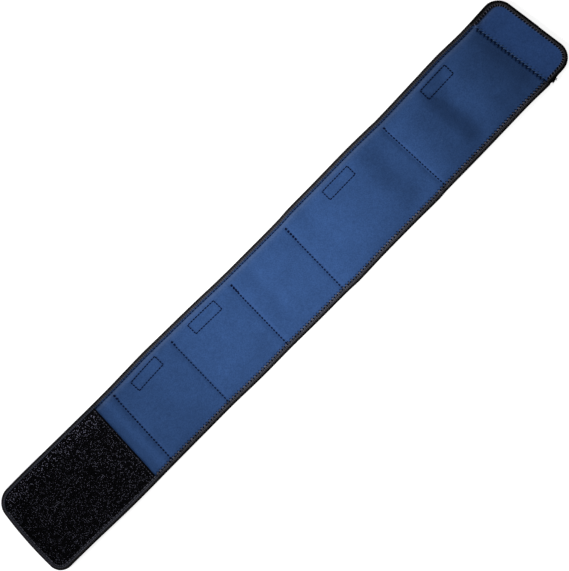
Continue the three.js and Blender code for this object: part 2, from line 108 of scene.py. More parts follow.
# Long edges: how far along the belt, and where the upper and the lower edge run as shares of half the width
OUTLINE = [
    (0.000, 1.018, -0.955),
    (0.060, 1.028, -0.966),
    (0.142, 1.010, -0.998),
    (0.224, 1.000, -0.992),
    (0.293, 1.018, -0.990),
    (0.334, 1.008, -0.990),
    (0.389, 0.994, -1.010),
    (0.446, 0.968, -1.006),
    (0.499, 0.964, -1.016),
    (0.554, 0.966, -1.018),
    (0.576, 0.984, -1.030),
    (0.622, 0.988, -1.012),
    (0.688, 1.000, -1.006),
    (0.731, 0.990, -1.012),
    (0.747, 0.982, -0.998),
    (0.814, 1.010, -0.988),
    (0.868, 1.034, -0.972),
    (0.910, 1.020, -0.960),
    (0.935, 1.030, -0.964),
    (0.967, 1.050, -0.954),
    (1.000, 1.050, -0.930),
]
UPPER, LOWER = 1, 2

# Lines across the belt, by where they meet its upper and lower edge as shares of the length
HOOK_END = {"upper": 0.0102, "lower": 0.0007}
TAB_END = {"upper": 0.9859, "lower": 1.0043}
HOOK_BORDER = {"upper": 0.1964, "lower": 0.1889}
SEAMS = [
    {"upper": 0.2269, "lower": 0.2202, "pinch": 0.30, "top": 49.2, "backtack": 9.0, "shift": 0.3, "thread": 0.84},
    {"upper": 0.3358, "lower": 0.3326, "pinch": 0.30, "top": 45.2, "backtack": 8.0, "shift": -0.9, "thread": 0.70},
    {"upper": 0.4467, "lower": 0.4439, "pinch": 0.30, "top": 44.6, "backtack": 14.0, "shift": 0.3, "thread": 0.88},
    {"upper": 0.5553, "lower": 0.5527, "pinch": 0.30, "top": 46.4, "backtack": 20.0, "shift": -0.9, "thread": 0.78},
    {"upper": 0.7440, "lower": 0.7494, "pinch": 0.30, "top": 47.3, "backtack": 5.0, "shift": 1.2, "thread": 0.70},
    {"upper": 0.9318, "lower": 0.9504, "pinch": 0.55},
]
ZIGZAG = SEAMS[-1]

# Swells in each pocket: shares of the way from its first seam to its second, and a share of the height
SWELLS = [
    {"pocket": 0, "start": 0.00, "crest_from": 0.50, "crest_to": 0.60, "end": 1.00, "lift": 0.70},
    {"pocket": 1, "start": 0.00, "crest_from": 0.45, "crest_to": 0.55, "end": 1.00, "lift": 0.65},
    {"pocket": 2, "start": 0.00, "crest_from": 0.09, "crest_to": 0.13, "end": 0.36, "lift": 0.27},
    {"pocket": 2, "start": 0.26, "crest_from": 0.47, "crest_to": 0.60, "end": 1.00, "lift": 0.42},
    {"pocket": 3, "start": 0.04, "crest_from": 0.44, "crest_to": 0.66, "end": 0.89, "lift": 0.96},
    {"pocket": 4, "start": 0.00, "crest_from": 0.24, "crest_to": 0.31, "end": 0.50, "lift": 0.92},
    {"pocket": 4, "start": 0.44, "crest_from": 0.69, "crest_to": 0.75, "end": 1.00, "lift": 0.86},
]
PACKS = [
    {"name": "pack_1", "node": "weight_pack_1", "pocket": 0, "middle": 0.50},
    {"name": "pack_2", "node": "weight_pack_2", "pocket": 1, "middle": 0.50},
    {"name": "pack_3", "node": "weight_pack_3", "pocket": 3, "middle": 0.40},
    {"name": "pack_4", "node": "weight_pack_4", "pocket": 4, "middle": 0.76},
]

# Closures, and the rectangle of stitches that holds each: its length, its two sides as v, and its turn in degrees
CLOSURES = [
    {"name": "closure_1", "node": "pocket_closure_1", "pocket": 0, "middle": 0.50,
     "length": 40.3, "from_v": 30.5, "to_v": 44.0, "turn": 2.0},
    {"name": "closure_2", "node": "pocket_closure_2", "pocket": 1, "middle": 0.50,
     "length": 40.6, "from_v": 30.2, "to_v": 43.9, "turn": 0.0},
    {"name": "closure_3", "node": "pocket_closure_3", "pocket": 3, "middle": 0.50,
     "length": 40.6, "from_v": 30.0, "to_v": 43.2, "turn": 0.0},
    {"name": "closure_4", "node": "pocket_closure_4", "pocket": 4, "middle": 0.51,
     "length": 40.4, "from_v": 29.6, "to_v": 43.6, "turn": 0.0},
]

# Grid spacings of the fine pieces, and their distances in from an edge where the cloth bends most
MAIN_STEP = 1.6
COARSE_STEP = 2.6
EDGE_ROWS = [0.0, 0.3, 0.8, 1.5, 2.4, 3.6, 5.0]
EDGE_ROUND = 0.9

# Stitching
STITCH_PITCH = 4.0
BOX_THREAD = 0.68
BOX_PITCH = 3.6
ZIGZAG_STEP = 2.5
ZIGZAG_HALF_WIDTH = 2.0
ZIGZAG_HEAVY = {"radius": 0.58, "shift": -1.7}
ZIGZAG_THIN = {"radius": 0.48, "shift": 1.0}

# Stitches along the bindings: where each kind runs, from one distance in to another, and its thread; the grey thread
# is dark thread painted light grey for its glint, a painted highlight
EDGE_STITCHES = {
    "upper_stitches": {"binding": "edge", "from": "start", "to": "border", "shift": 0.0, "inner": 5.9,
                       "outer": 5.9, "pitch": 4.1, "share": 0.74, "radius": 0.56, "lift": 0.30, "raise": 0.0,
                       "thread": "navy"},
    "lower_stitches": {"binding": "edge", "from": "border_back", "to": "end", "shift": 0.0, "inner": 5.2,
                       "outer": 5.8, "pitch": 4.2, "share": 0.26, "radius": 0.98, "lift": 0.40, "raise": 0.3,
                       "thread": "black"},
    "lower_dots": {"binding": "edge", "from": "border_back", "to": "end", "shift": 2.2, "inner": 7.5,
                   "outer": 8.2, "pitch": 4.2, "share": 0.14, "radius": 0.50, "lift": 0.25, "raise": 0.0,
                   "thread": "navy"},
    "lower_loops": {"binding": "edge", "from": "border_back", "to": "end", "shift": 1.2, "inner": 3.8,
                    "outer": 7.2, "pitch": 4.2, "share": 0.28, "radius": 0.42, "lift": 0.25, "raise": 0.35,
                    "thread": "grey"},
    "lower_returns": {"binding": "edge", "from": "border_back", "to": "end", "shift": 2.6, "inner": 7.2,
                      "outer": 3.8, "pitch": 4.2, "share": 0.28, "radius": 0.42, "lift": 0.25, "raise": 0.35,
                      "thread": "grey"},
    "hook_side_stitches": {"binding": "edge", "from": "hook_end", "to": "border_back", "shift": 0.0,
                           "inner": 5.5, "outer": 5.5, "pitch": 4.1, "share": 0.66, "radius": 0.52,
                           "lift": 0.30, "raise": 0.8, "thread": "grey"},
    "tab_stitches": {"binding": "end", "from": "start", "to": "end", "shift": 0.0, "inner": 5.4,
                     "outer": 6.8, "pitch": 3.9, "share": 0.36, "radius": 0.85, "lift": 0.40, "raise": 0.1,
                     "thread": "black"},
    "tab_loops": {"binding": "end", "from": "start", "to": "end", "shift": 2.3, "inner": 4.0,
                  "outer": 7.2, "pitch": 3.9, "share": 0.20, "radius": 0.36, "lift": 0.25, "raise": 0.35,
                  "thread": "grey"},
}

RANDOM_SEED = 11


def lerp(a, b, t):
    return a + (b - a) * t


def ramp(start, end, value):
    return np.clip((value - start) / (end - start), 0.0, 1.0)


def smooth(start, end, value):
    t = ramp(start, end, value)
    return t * t * (3 - 2 * t)


def ease(start, end, value):
    t = ramp(start, end, value)
    return t * (2 - t)


def edge(column, x):
    """Where a long edge runs at x, on a smooth curve through the rows of the outline table."""
    table = np.array(OUTLINE)
    along = table[:, 0]
    values = table[:, column]
    last = len(along) - 1
    after = np.minimum(np.arange(last + 1) + 1, last)
    before = np.maximum(np.arange(last + 1) - 1, 0)
    slopes = (values[after] - values[before]) / (along[after] - along[before])
    t = np.clip(np.asarray(x, float) / BELT_LENGTH, 0.0, 1.0)
    k = np.clip(np.searchsorted(along, t, side="right") - 1, 0, last - 1)
    span = along[k + 1] - along[k]
    u = (t - along[k]) / span
    chord = (values[k + 1] - values[k]) / span
    curve = span * u * (1 - u) * ((1 - u) * (slopes[k] - chord) - u * (slopes[k + 1] - chord))
    return HALF * (lerp(values[k], values[k + 1], u) + curve)


def across(x, v):
    """The plan's y of a place given by x and v."""
    return lerp(edge(LOWER, x), edge(UPPER, x), (v + HALF) / BELT_WIDTH)


def flat_v(x, y):
    low = edge(LOWER, x)
    return BELT_WIDTH * (y - low) / (edge(UPPER, x) - low) - HALF


def line_x(line, v):
    return BELT_LENGTH * lerp(line["lower"], line["upper"], (v + HALF) / BELT_WIDTH)


def sewn_x(seam, v):
    """Where a seam's thread shows, a little beside the line that presses the cloth."""
    return line_x(seam, v) + seam["shift"]


def corner_cut(radius, from_edge):
    rest = np.maximum(0.0, radius - np.maximum(0.0, from_edge))
    return radius - np.sqrt(np.maximum(0.0, radius * radius - rest * rest))


def bow(depth, v):
    return depth * (1 - (v / HALF) ** 2)


def corner_of(end, v):
    return np.where(v > 0, CORNER[end + "_upper"], CORNER[end + "_lower"])


def hook_end_x(v, inset=0.0):
    cut = corner_cut(corner_of("hook", v) - inset, HALF - np.abs(v) - inset)
    return line_x(HOOK_END, v) - bow(HOOK_END_BOW, v) + inset + cut


def tab_end_x(v, inset=0.0):
    cut = corner_cut(corner_of("tab", v) - inset, HALF - np.abs(v) - inset)
    return line_x(TAB_END, v) + bow(TAB_END_BOW, v) - inset - cut


def from_rim(x, v):
    """Distance from the nearest edge of the belt, round corners included."""
    from_long = HALF - np.abs(v)
    hook_gap = x - line_x(HOOK_END, v) + bow(HOOK_END_BOW, v)
    tab_gap = line_x(TAB_END, v) + bow(TAB_END_BOW, v) - x
    nearest = np.full(np.shape(x), 1e9)
    for end, gap in (("hook", hook_gap), ("tab", tab_gap)):
        radius = corner_of(end, v)
        in_corner = (gap < radius) & (from_long < radius)
        round_gap = radius - np.hypot(radius - gap, radius - from_long)
        nearest = np.minimum(nearest, np.where(in_corner, round_gap, np.minimum(gap, from_long)))
    return nearest


def pocket_x(pocket, share, v):
    return lerp(line_x(SEAMS[pocket], v), line_x(SEAMS[pocket + 1], v), share)


def pocket_share(pocket, x, v):
    start = line_x(SEAMS[pocket], v)
    return (x - start) / (line_x(SEAMS[pocket + 1], v) - start)


def pinch(x, v):
    """Share of the thickness that stitching presses away; seams start below the pocket mouths."""
    sewn = 1 - smooth(HALF - POCKET_MOUTH_DROP - SEAM_ALLOWANCE, HALF - RIM, v)
    nearest = np.zeros(np.shape(x))
    for seam in SEAMS:
        away = np.abs(x - line_x(seam, v)) / SEAM_ALLOWANCE
        nearest = np.maximum(nearest, seam["pinch"] * (1 - smooth(0, 1, away)))
    return sewn * nearest


def base(x, v):
    """Underside of whatever lies lowest: it rests on the tape at the rim and sags to the surface inside it."""
    seam_x = line_x(ZIGZAG, v)
    before_tab = 1 - ramp(seam_x - SEAM_ALLOWANCE, seam_x, x)
    sag = SAG * before_tab * smooth(RIM, LEVEL, from_rim(x, v))
    away = np.abs(x / BELT_LENGTH - RIPPLE_ALONG) / RIPPLE_REACH
    return REST_HEIGHT - sag + RIPPLE_HEIGHT * (1 - smooth(0, 1, away))


def cover(x, v):
    """How far the pocket sheet lifts the main sheet."""
    ramp_end = line_x(SEAMS[0], v) - SEAM_ALLOWANCE
    along_belt = smooth(ramp_end - RAMP_LENGTH, ramp_end - CLEARANCE, x)
    return along_belt * (1 - UPPER_EDGE_DROP * smooth(HALF - POCKET_MOUTH_DROP, HALF, v))


def closure_swell(x, v):
    low_end = HALF - CLOSURE_DROP - CLOSURE_WIDTH
    across_belt = smooth(low_end - CLOSURE_MARGIN, low_end, v)
    across_belt = across_belt * (1 - smooth(HALF - POCKET_MOUTH_DROP, HALF - RIM, v))
    swell = np.zeros(np.shape(x))
    for row in CLOSURES:
        away = np.abs(x - pocket_x(row["pocket"], row["middle"], v)) - CLOSURE_LENGTH / 2
        lift = (CLOSURE_THICKNESS + 2 * CLEARANCE) * across_belt * (1 - smooth(1, CLOSURE_MARGIN, away))
        swell = np.maximum(swell, lift)
    return swell


def pack_swell(x, v):
    side = ease(-HALF + RIM, -HALF + RIM + LOWER_SWELL_REACH, v)
    side = side * ease(-HALF + RIM, -HALF + RIM + UPPER_SWELL_REACH, -v)
    total = np.zeros(np.shape(x))
    for row in SWELLS:
        share = pocket_share(row["pocket"], x, v)
        inside = (share > row["start"]) & (share < row["end"])
        if row["start"] == 0:
            rise = ease(0, row["crest_from"], share)
        else:
            rise = smooth(row["start"], row["crest_from"], share)
        if row["end"] == 1:
            fall = ease(0, 1 - row["crest_to"], 1 - share)
        else:
            fall = 1 - smooth(row["crest_to"], row["end"], share)
        total = total + np.where(inside, side * SWELL_HEIGHT * row["lift"] * rise * fall, 0.0)
    return total


def soft_max(a, b, width):
    return 0.5 * (a + b + np.sqrt((a - b) ** 2 + width * width) - width)


def pocket_top(x, v):
    return base(x, v) + POCKET_THICKNESS * (1 - pinch(x, v))


def main_bottom(x, v):
    underneath = POCKET_THICKNESS * (1 - pinch(x, v)) + CLEARANCE
    swell = soft_max(pack_swell(x, v), closure_swell(x, v), 0.4)
    return base(x, v) + cover(x, v) * underneath + swell


def main_top(x, v):
    """The plain upper face of the main sheet, before its relief; it bridges most of each seam's pinch."""
    filled = BRIDGED * (MAIN_THICKNESS + POCKET_THICKNESS) * pinch(x, v)
    settled = SETTLE["depth"] * (1 - smooth(0, SETTLE["reach"], line_x(ZIGZAG, v) - x))
    return main_bottom(x, v) + MAIN_THICKNESS * (1 - pinch(x, v)) + filled - settled


def tab_top(x, v):
    seam_x = line_x(ZIGZAG, v)
    at_seam = main_top(seam_x, v) - base(seam_x, v)
    blend = smooth(seam_x, seam_x + TAB_BLEND_LENGTH, x)
    return base(x, v) + lerp(at_seam, MAIN_THICKNESS, blend)


def hook_top(x, v):
    return main_top(x, v) + CLEARANCE + HOOK_PANEL_THICKNESS


def edge_bottom(x, v):
    return np.where(v > 0, main_bottom(x, v), base(x, v))


def edge_top(x, v):
    border = line_x(HOOK_BORDER, v)
    on_panel = 1 - smooth(border + CLEARANCE, border + PANEL_STEP, x)
    return main_top(x, v) + on_panel * (HOOK_PANEL_THICKNESS + CLEARANCE)


# Relief of the cloth's face: soft waves, seam troughs with puckers, and the troughs of the stitched rectangles
WAVE_COUNT = 14
WAVE_HEIGHT = 0.10
WAVE_LENGTHS = (26.0, 90.0)
TROUGH = {"depth": 0.26, "half_width": 1.5}
BOX_TROUGH = {"depth": 0.24, "half_width": 1.4}
ZIGZAG_TROUGH = {"depth": 0.14, "half_width": 2.2}
PUCKER = {"height": 0.16, "reach": 6.0, "pitch": 9.0}
CREASE = {"x": 412.0, "from_v": -18.0, "to_v": 27.0, "height": 0.22, "half_width": 1.3}


def soft_waves(x, v):
    rng = np.random.RandomState(RANDOM_SEED)
    total = np.zeros(np.shape(x))
    for _ in range(WAVE_COUNT):
        length = rng.uniform(*WAVE_LENGTHS)
        turn = rng.uniform(-0.9, 0.9)
        phase = rng.uniform(0, 2 * math.pi)
        step = 2 * math.pi / length
        total = total + np.sin(step * (x * math.cos(turn) + v * math.sin(turn)) + phase) * length
    return WAVE_HEIGHT * total / (WAVE_LENGTHS[1] * math.sqrt(WAVE_COUNT) / 2)


def trough(distance, shape):
    return shape["depth"] * np.exp(-((distance / shape["half_width"]) ** 2))


def box_corners(row):
    """Plan corners of a closure's rectangle of stitches, in order."""
    v_mid = (row["from_v"] + row["to_v"]) / 2
    x_mid = pocket_x(row["pocket"], row["middle"], v_mid)
    turn = math.radians(row["turn"])
    corners = []
    for side, end in ((-1, -1), (-1, 1), (1, 1), (1, -1)):
        dx = end * row["length"] / 2
        dv = side * (row["to_v"] - row["from_v"]) / 2
        x = x_mid + dx * math.cos(turn) - dv * math.sin(turn)
        v = v_mid + dx * math.sin(turn) + dv * math.cos(turn)
        corners.append((float(x), float(v)))
    return corners


def segment_distance(x, v, start, end):
    ax, av = start
    bx, bv = end
    length2 = (bx - ax) ** 2 + (bv - av) ** 2
    t = np.clip(((x - ax) * (bx - ax) + (v - av) * (bv - av)) / length2, 0.0, 1.0)
    return np.hypot(x - ax - t * (bx - ax), v - av - t * (bv - av))


def relief(x, v):
    inside = smooth(RIM - 2, LEVEL, from_rim(x, v))
    total = soft_waves(x, v) * inside
    for seam in SEAMS[:-1]:
        away = x - sewn_x(seam, v)
        sewn = 1 - smooth(seam["top"] - 1, seam["top"] + 2, v)
        ripple = np.sin(2 * math.pi * v / PUCKER["pitch"] + 3 * np.sin(v / 11.0))
        pucker = PUCKER["height"] * ripple * np.exp(-np.abs(away) / PUCKER["reach"])
        total = total + sewn * (pucker - trough(away, TROUGH))
    total = total - trough(x - line_x(ZIGZAG, v), ZIGZAG_TROUGH)
    for row in CLOSURES:
        corners = box_corners(row)
        nearest = np.full(np.shape(x), 1e9)
        for k in range(4):
            nearest = np.minimum(nearest, segment_distance(x, v, corners[k], corners[(k + 1) % 4]))
        total = total - trough(nearest, BOX_TROUGH)
    on_crease = smooth(CREASE["from_v"], CREASE["from_v"] + 8, v) * (1 - smooth(CREASE["to_v"] - 8, CREASE["to_v"], v))
    bump = np.exp(-(((x - CREASE["x"] - 0.06 * v) / CREASE["half_width"]) ** 2))
    return total + CREASE["height"] * on_crease * bump


def cloth_top(x, v):
    """The finished upper face of the blue cloth, main sheet and end tab."""
    plain = np.where(x < line_x(ZIGZAG, v), main_top(x, v), tab_top(x, v))
    return plain + relief(x, v)


def rounded(distance, radius):
    """How far a face drops near its cut edge."""
    rest = radius - np.clip(distance, 0.0, radius)
    return radius - np.sqrt(radius * radius - rest * rest)


def closure_plan(row, along, crosswise):
    """Plan places of a closure, spread evenly over it."""
    v = HALF - CLOSURE_DROP - CLOSURE_WIDTH * (1 - crosswise)
    x = pocket_x(row["pocket"], row["middle"], v) + CLOSURE_LENGTH * (along - 0.5)
    return x, v


def belt_origin():
    """Where the frame's origin lies in the belt's own plan, from the first closure's box."""
    along, crosswise = np.meshgrid(np.arange(7) / 6, np.arange(3) / 2, indexing="ij")
    x, v = closure_plan(CLOSURES[0], along, crosswise)
    low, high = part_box(CLOSURES[0]["node"])
    return x.min() - 1000 * low.x, across(x, v).min() - 1000 * low.y


ORIGIN_X, ORIGIN_Y = belt_origin()


def to_frame(points):
    """Belt millimetres to the frame's metres."""
    points = np.asarray(points, float)
    return (points - np.array([ORIGIN_X, ORIGIN_Y, 0.0])) / 1000


def make_piece(name, points, faces, material, replaces=(), smooth_shade=True):
    mesh = bpy.data.meshes.new(name)
    mesh.from_pydata(to_frame(points).tolist(), [], faces)
    mesh.update()
    work = bmesh.new()
    work.from_mesh(mesh)
    bmesh.ops.recalc_face_normals(work, faces=work.faces)
    work.to_mesh(mesh)
    work.free()
    if smooth_shade:
        mesh.polygons.foreach_set("use_smooth", np.ones(len(mesh.polygons), bool))
    mesh.materials.append(material)
    piece = bpy.data.objects.new(name, mesh)
    bpy.context.scene.collection.objects.link(piece)
    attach(piece, "root")
    if replaces:
        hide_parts(*replaces)
    return piece


def slab(name, x, v, bottom, top, material, replaces=()):
    """A closed sheet over a grid of plan places, between a lower and an upper face."""
    y = across(x, v)
    rows, columns = x.shape
    count = rows * columns
    lower = np.stack([x, y, bottom], axis=-1).reshape(-1, 3)
    upper = np.stack([x, y, top], axis=-1).reshape(-1, 3)
    at = np.arange(count).reshape(rows, columns)
    p, q, r, s = at[:-1, :-1], at[1:, :-1], at[1:, 1:], at[:-1, 1:]
    under = np.stack([p, s, r, q], axis=-1).reshape(-1, 4)
    over = np.stack([p, q, r, s], axis=-1).reshape(-1, 4) + count
    rim = np.concatenate([at[:-1, 0], at[-1, :-1], at[:0:-1, -1], at[0, :0:-1]])
    following = np.roll(rim, -1)
    wall = np.stack([rim, following, following + count, rim + count], axis=-1)
    faces = np.concatenate([under, over, wall]).tolist()
    return make_piece(name, np.concatenate([lower, upper]), faces, material, replaces)


def spaced(start, end, step):
    return np.linspace(start, end, max(2, int(math.ceil(abs(end - start) / step)) + 1))


def cross_rows(low, high, step):
    """v of the grid rows: close together at both edges, evenly spaced between."""
    near = [low + d for d in EDGE_ROWS]
    far = [high - d for d in reversed(EDGE_ROWS)]
    middle = spaced(near[-1], far[0], step)[1:-1]
    return np.array([*near, *middle, *far])


def column_shares(first, last, widths, step):
    """Stop number plus share for each grid column, with extra columns beside the two ends."""
    shares = []
    for k, width in enumerate(widths):
        cells = max(1, int(round(width / step)))
        shares.extend(k + np.arange(cells) / cells)
    shares.append(float(len(widths)))
    shares = np.array(shares)
    extra_first = np.array(first) / widths[0]
    extra_last = len(widths) - np.array(last) / widths[-1]
    return np.unique(np.concatenate([shares, extra_first, extra_last]))


def plan_grid(stops, v, step):
    """Grid places between lines across the belt; each stop is a function of v."""
    lines = np.array([stop(v) for stop in stops])
    widths = np.diff(lines.mean(axis=1))
    shares = column_shares(EDGE_ROWS[1:4], EDGE_ROWS[1:4], widths, step)
    k = np.minimum(shares.astype(int), len(stops) - 2)
    part = (shares - k)[:, None]
    x = lerp(lines[k], lines[k + 1], part)
    return x, np.broadcast_to(v, x.shape).copy()


def rim_drop(shape, v, low, high):
    """Rounding of a sheet's cut edges, by the grid's distance from them."""
    near = np.minimum(v - low, high - v)
    drop = rounded(near, EDGE_ROUND)
    ends = np.array([*EDGE_ROWS[:4]])
    for k in range(min(4, shape[0])):
        drop[k] = np.maximum(drop[k], rounded(ends[k], EDGE_ROUND))
        drop[-1 - k] = np.maximum(drop[-1 - k], rounded(ends[k], EDGE_ROUND))
    return drop


def seam_stop(seam, shift=0.0):
    return lambda v: line_x(seam, v) + shift


def keep_rim(piece, v):
    """Keeps the distance from the belt's upper edge at each point of a slab, for its material."""
    layer = piece.data.attributes.new("rim", "FLOAT", "POINT")
    layer.data.foreach_set("value", np.tile(HALF - v.ravel(), 2).astype(np.float32))


def make_main_cloth(material):
    inset = TAPE["thickness"] + CLEARANCE
    v = cross_rows(-HALF + inset, HALF - inset, MAIN_STEP)
    stops = [lambda v: hook_end_x(v, inset), seam_stop(HOOK_BORDER)]
    stops += [seam_stop(seam) for seam in SEAMS[:-1]]
    stops.append(seam_stop(ZIGZAG, -JOIN_GAP))
    x, v = plan_grid(stops, v, MAIN_STEP)
    drop = rim_drop(x.shape, v, -HALF + inset, HALF - inset)
    top = main_top(x, v) + relief(x, v) - drop
    bottom = main_bottom(x, v) + 0.4 * drop
    piece = slab("main_cloth", x, v, bottom, top, material, ["main_sheet"])
    keep_rim(piece, v)
    return piece


def make_pocket_cloth(material):
    inset = TAPE["thickness"] + CLEARANCE
    v = cross_rows(-HALF + inset, HALF - POCKET_MOUTH_DROP, COARSE_STEP)
    stops = [seam_stop(SEAMS[0], -SEAM_ALLOWANCE)]
    stops += [seam_stop(seam) for seam in SEAMS[:-1]]
    stops.append(seam_stop(ZIGZAG, -CLEARANCE / 2))
    x, v = plan_grid(stops, v, COARSE_STEP)
    drop = rim_drop(x.shape, v, -HALF + inset, HALF - POCKET_MOUTH_DROP)
    top = pocket_top(x, v) - 0.6 * drop
    bottom = base(x, v) + 0.6 * drop
    piece = slab("pocket_cloth", x, v, bottom, top, material, ["pocket_sheet"])
    return piece


def make_tab_cloth(material):
    inset = END_TAPE["thickness"] + CLEARANCE
    v = cross_rows(-HALF + inset, HALF - inset, MAIN_STEP)
    stops = [seam_stop(ZIGZAG, JOIN_GAP), lambda v: tab_end_x(v, inset)]
    x, v = plan_grid(stops, v, MAIN_STEP)
    drop = rim_drop(x.shape, v, -HALF + inset, HALF - inset)
    top = tab_top(x, v) + relief(x, v) - drop
    bottom = base(x, v) + END_TAPE["thickness"] - TAPE["thickness"] + 0.4 * drop
    piece = slab("tab_cloth", x, v, bottom, top, material, ["end_tab"])
    keep_rim(piece, v)
    return piece


# Hook panel: its cloth, its stitched border and its small hooks
HOOK_PITCH = 1.38
HOOK_JITTER = 0.42
HOOK_WIRE = 0.17
HOOK_PATH = [(0.0, -0.25), (0.08, 0.75), (0.36, 1.16), (0.80, 1.05), (0.80, 0.70)]
HOOK_SIDES = 3
PANEL_STITCH_IN = 2.6
BORDER_PRESS = {"depth": 0.5, "reach": 4.0}


def border_press(x, v):
    """How far the panel's inner border is pressed down by its stitching."""
    return BORDER_PRESS["depth"] * (1 - smooth(0, BORDER_PRESS["reach"], line_x(HOOK_BORDER, v) - x))


def make_hook_field(material):
    inset = TAPE["thickness"] + CLEARANCE
    v = cross_rows(-HALF + inset, HALF - inset, COARSE_STEP)
    stops = [lambda v: hook_end_x(v, inset), seam_stop(HOOK_BORDER)]
    x, v = plan_grid(stops, v, COARSE_STEP)
    drop = rim_drop(x.shape, v, -HALF + inset, HALF - inset)
    groove = trough(x - line_x(HOOK_BORDER, v) + PANEL_STITCH_IN, BOX_TROUGH)
    top = hook_top(x, v) - drop - groove - border_press(x, v)
    bottom = main_top(x, v) + CLEARANCE * 0.5 + 0.1 * drop
    piece = slab("hook_field", x, v, bottom, top, material, ["hook_panel"])
    return piece


def tubes(centres, radii, sides, ups):
    """Closed tubes along many paths at once: centres is (tubes, rings, 3), in millimetres."""
    count, rings, _ = centres.shape
    along = np.gradient(centres, axis=1)
    along /= np.linalg.norm(along, axis=-1, keepdims=True)
    side = np.cross(along, ups[:, None, :])
    side /= np.maximum(np.linalg.norm(side, axis=-1, keepdims=True), 1e-9)
    other = np.cross(side, along)
    angles = 2 * math.pi * np.arange(sides) / sides
    ring = side[:, :, None, :] * np.cos(angles)[:, None] + other[:, :, None, :] * np.sin(angles)[:, None]
    points = centres[:, :, None, :] + ring * radii[..., None, None]
    start = (np.arange(count) * rings * sides)[:, None, None]
    k = np.arange(rings - 1)[None, :, None] * sides
    j = np.arange(sides)[None, None, :]
    following = (j + 1) % sides
    quads = np.stack([start + k + j, start + k + following, start + k + sides + following, start + k + sides + j],
                     axis=-1).reshape(-1, 4).tolist()
    first = (start[:, 0] + np.arange(sides)[::-1]).tolist()
    last = (start[:, 0] + (rings - 1) * sides + np.arange(sides)).tolist()
    return points.reshape(-1, 3), quads + first + last


# How the hooks catch the light: more toward the panel's inner border and along its upper edge
PILE_LIGHT = {"end": 0.88, "border": 1.22, "rim": 2.3, "reach": 30.0}


def make_hook_pile(material):
    """Rows of small curled hooks, each turned and leaning a little by chance."""
    rng = np.random.RandomState(RANDOM_SEED + 1)
    margin = TAPE["shown_lap"] + 0.6
    v_line = np.arange(-HALF + margin, HALF - margin, HOOK_PITCH)
    x_line = np.arange(0.0, BELT_LENGTH * HOOK_BORDER["upper"], HOOK_PITCH)
    x, v = (grid.ravel() for grid in np.meshgrid(x_line, v_line, indexing="ij"))
    x = x + rng.uniform(-HOOK_JITTER, HOOK_JITTER, x.shape)
    v = v + rng.uniform(-HOOK_JITTER, HOOK_JITTER, v.shape)
    to_border = line_x(HOOK_BORDER, v) - x
    keep = (from_rim(x, v) > margin) & (to_border > 1.0)
    keep &= np.abs(to_border - PANEL_STITCH_IN) > 0.9
    keep &= rng.uniform(size=x.shape) > 0.10
    x, v = x[keep], v[keep]
    turn = rng.uniform(0, 2 * math.pi, x.shape)
    size = rng.uniform(0.75, 1.2, x.shape) * (1 - 0.6 * border_press(x, v))
    path = np.array(HOOK_PATH)
    out = path[None, :, 0] * size[:, None]
    lean = rng.uniform(-0.25, 0.25, x.shape)[:, None] * path[None, :, 1]
    centres = np.stack([
        x[:, None] + out * np.cos(turn)[:, None] - lean * np.sin(turn)[:, None],
        across(x, v)[:, None] + out * np.sin(turn)[:, None] + lean * np.cos(turn)[:, None],
        (hook_top(x, v) - border_press(x, v))[:, None] + path[None, :, 1] * size[:, None],
    ], axis=-1)
    radii = HOOK_WIRE * np.broadcast_to(np.array([1.2, 1.0, 1.0, 0.9, 0.5]), out.shape)
    ups = np.stack([-np.sin(turn), np.cos(turn), np.zeros_like(turn)], axis=-1)
    points, faces = tubes(centres, radii, HOOK_SIDES, ups)
    pile = make_piece("hook_pile", points, faces, material)
    toward_border = x / (BELT_LENGTH * HOOK_BORDER["upper"])
    bright = lerp(PILE_LIGHT["end"], PILE_LIGHT["border"], toward_border)
    bright = bright * (1 + PILE_LIGHT["rim"] * (1 - smooth(0, PILE_LIGHT["reach"], HALF - v)))
    layer = pile.data.attributes.new("bright", "FLOAT", "POINT")
    layer.data.foreach_set("value", np.repeat(bright, len(points) // len(x)).astype(np.float32))
    return pile


# Folded tape: ring spacing along it, its ribs, and where its inner edge is pressed down by the stitching
TAPE_STEP = 0.65
RIB_PITCH = 2.4
RIB_HEIGHT = 0.10
LIP_PRESS = 0.35
LIP_CURL = 0.15
OUTWARD = {"sides": 0.35, "ends": -0.10}
RIDGE = {"at": 3.5, "half_width": 0.7, "height": 0.30}
# Painted shade on the tape's nose where it faces away from the light, and how far its dark lanes stretch inward there
PAINTED_NOSE_SHADE = 0.85
SHADED_SIDE_LANE_STRETCH = 0.88
NOSE_POINTS = 7
NOSE_DEPTH = 1.9


def resample(x, v, step):
    """Evenly spaced places along a line of plan places."""
    y = across(x, v)
    length = np.concatenate([[0.0], np.cumsum(np.hypot(np.diff(x), np.diff(y)))])
    stations = np.linspace(0, length[-1], int(length[-1] / step) + 1)
    return np.interp(stations, length, x), np.interp(stations, length, y), stations


def edge_path():
    """The edge binding's line: along the upper edge, round the hook end, and back along the lower edge."""
    seam_x = line_x(ZIGZAG, np.array([HALF, -HALF])) - CLEARANCE / 2
    corner_upper, corner_lower = hook_end_x(np.array([HALF, -HALF]))
    upper_x = np.linspace(seam_x[0], corner_upper, 900)
    end_v = HALF * np.sin(np.linspace(math.pi / 2, -math.pi / 2, 500))
    lower_x = np.linspace(corner_lower, seam_x[1], 900)
    x = np.concatenate([upper_x, hook_end_x(end_v)[1:-1], lower_x])
    v = np.concatenate([np.full(900, HALF), end_v[1:-1], np.full(900, -HALF)])
    return resample(x, v, TAPE_STEP)


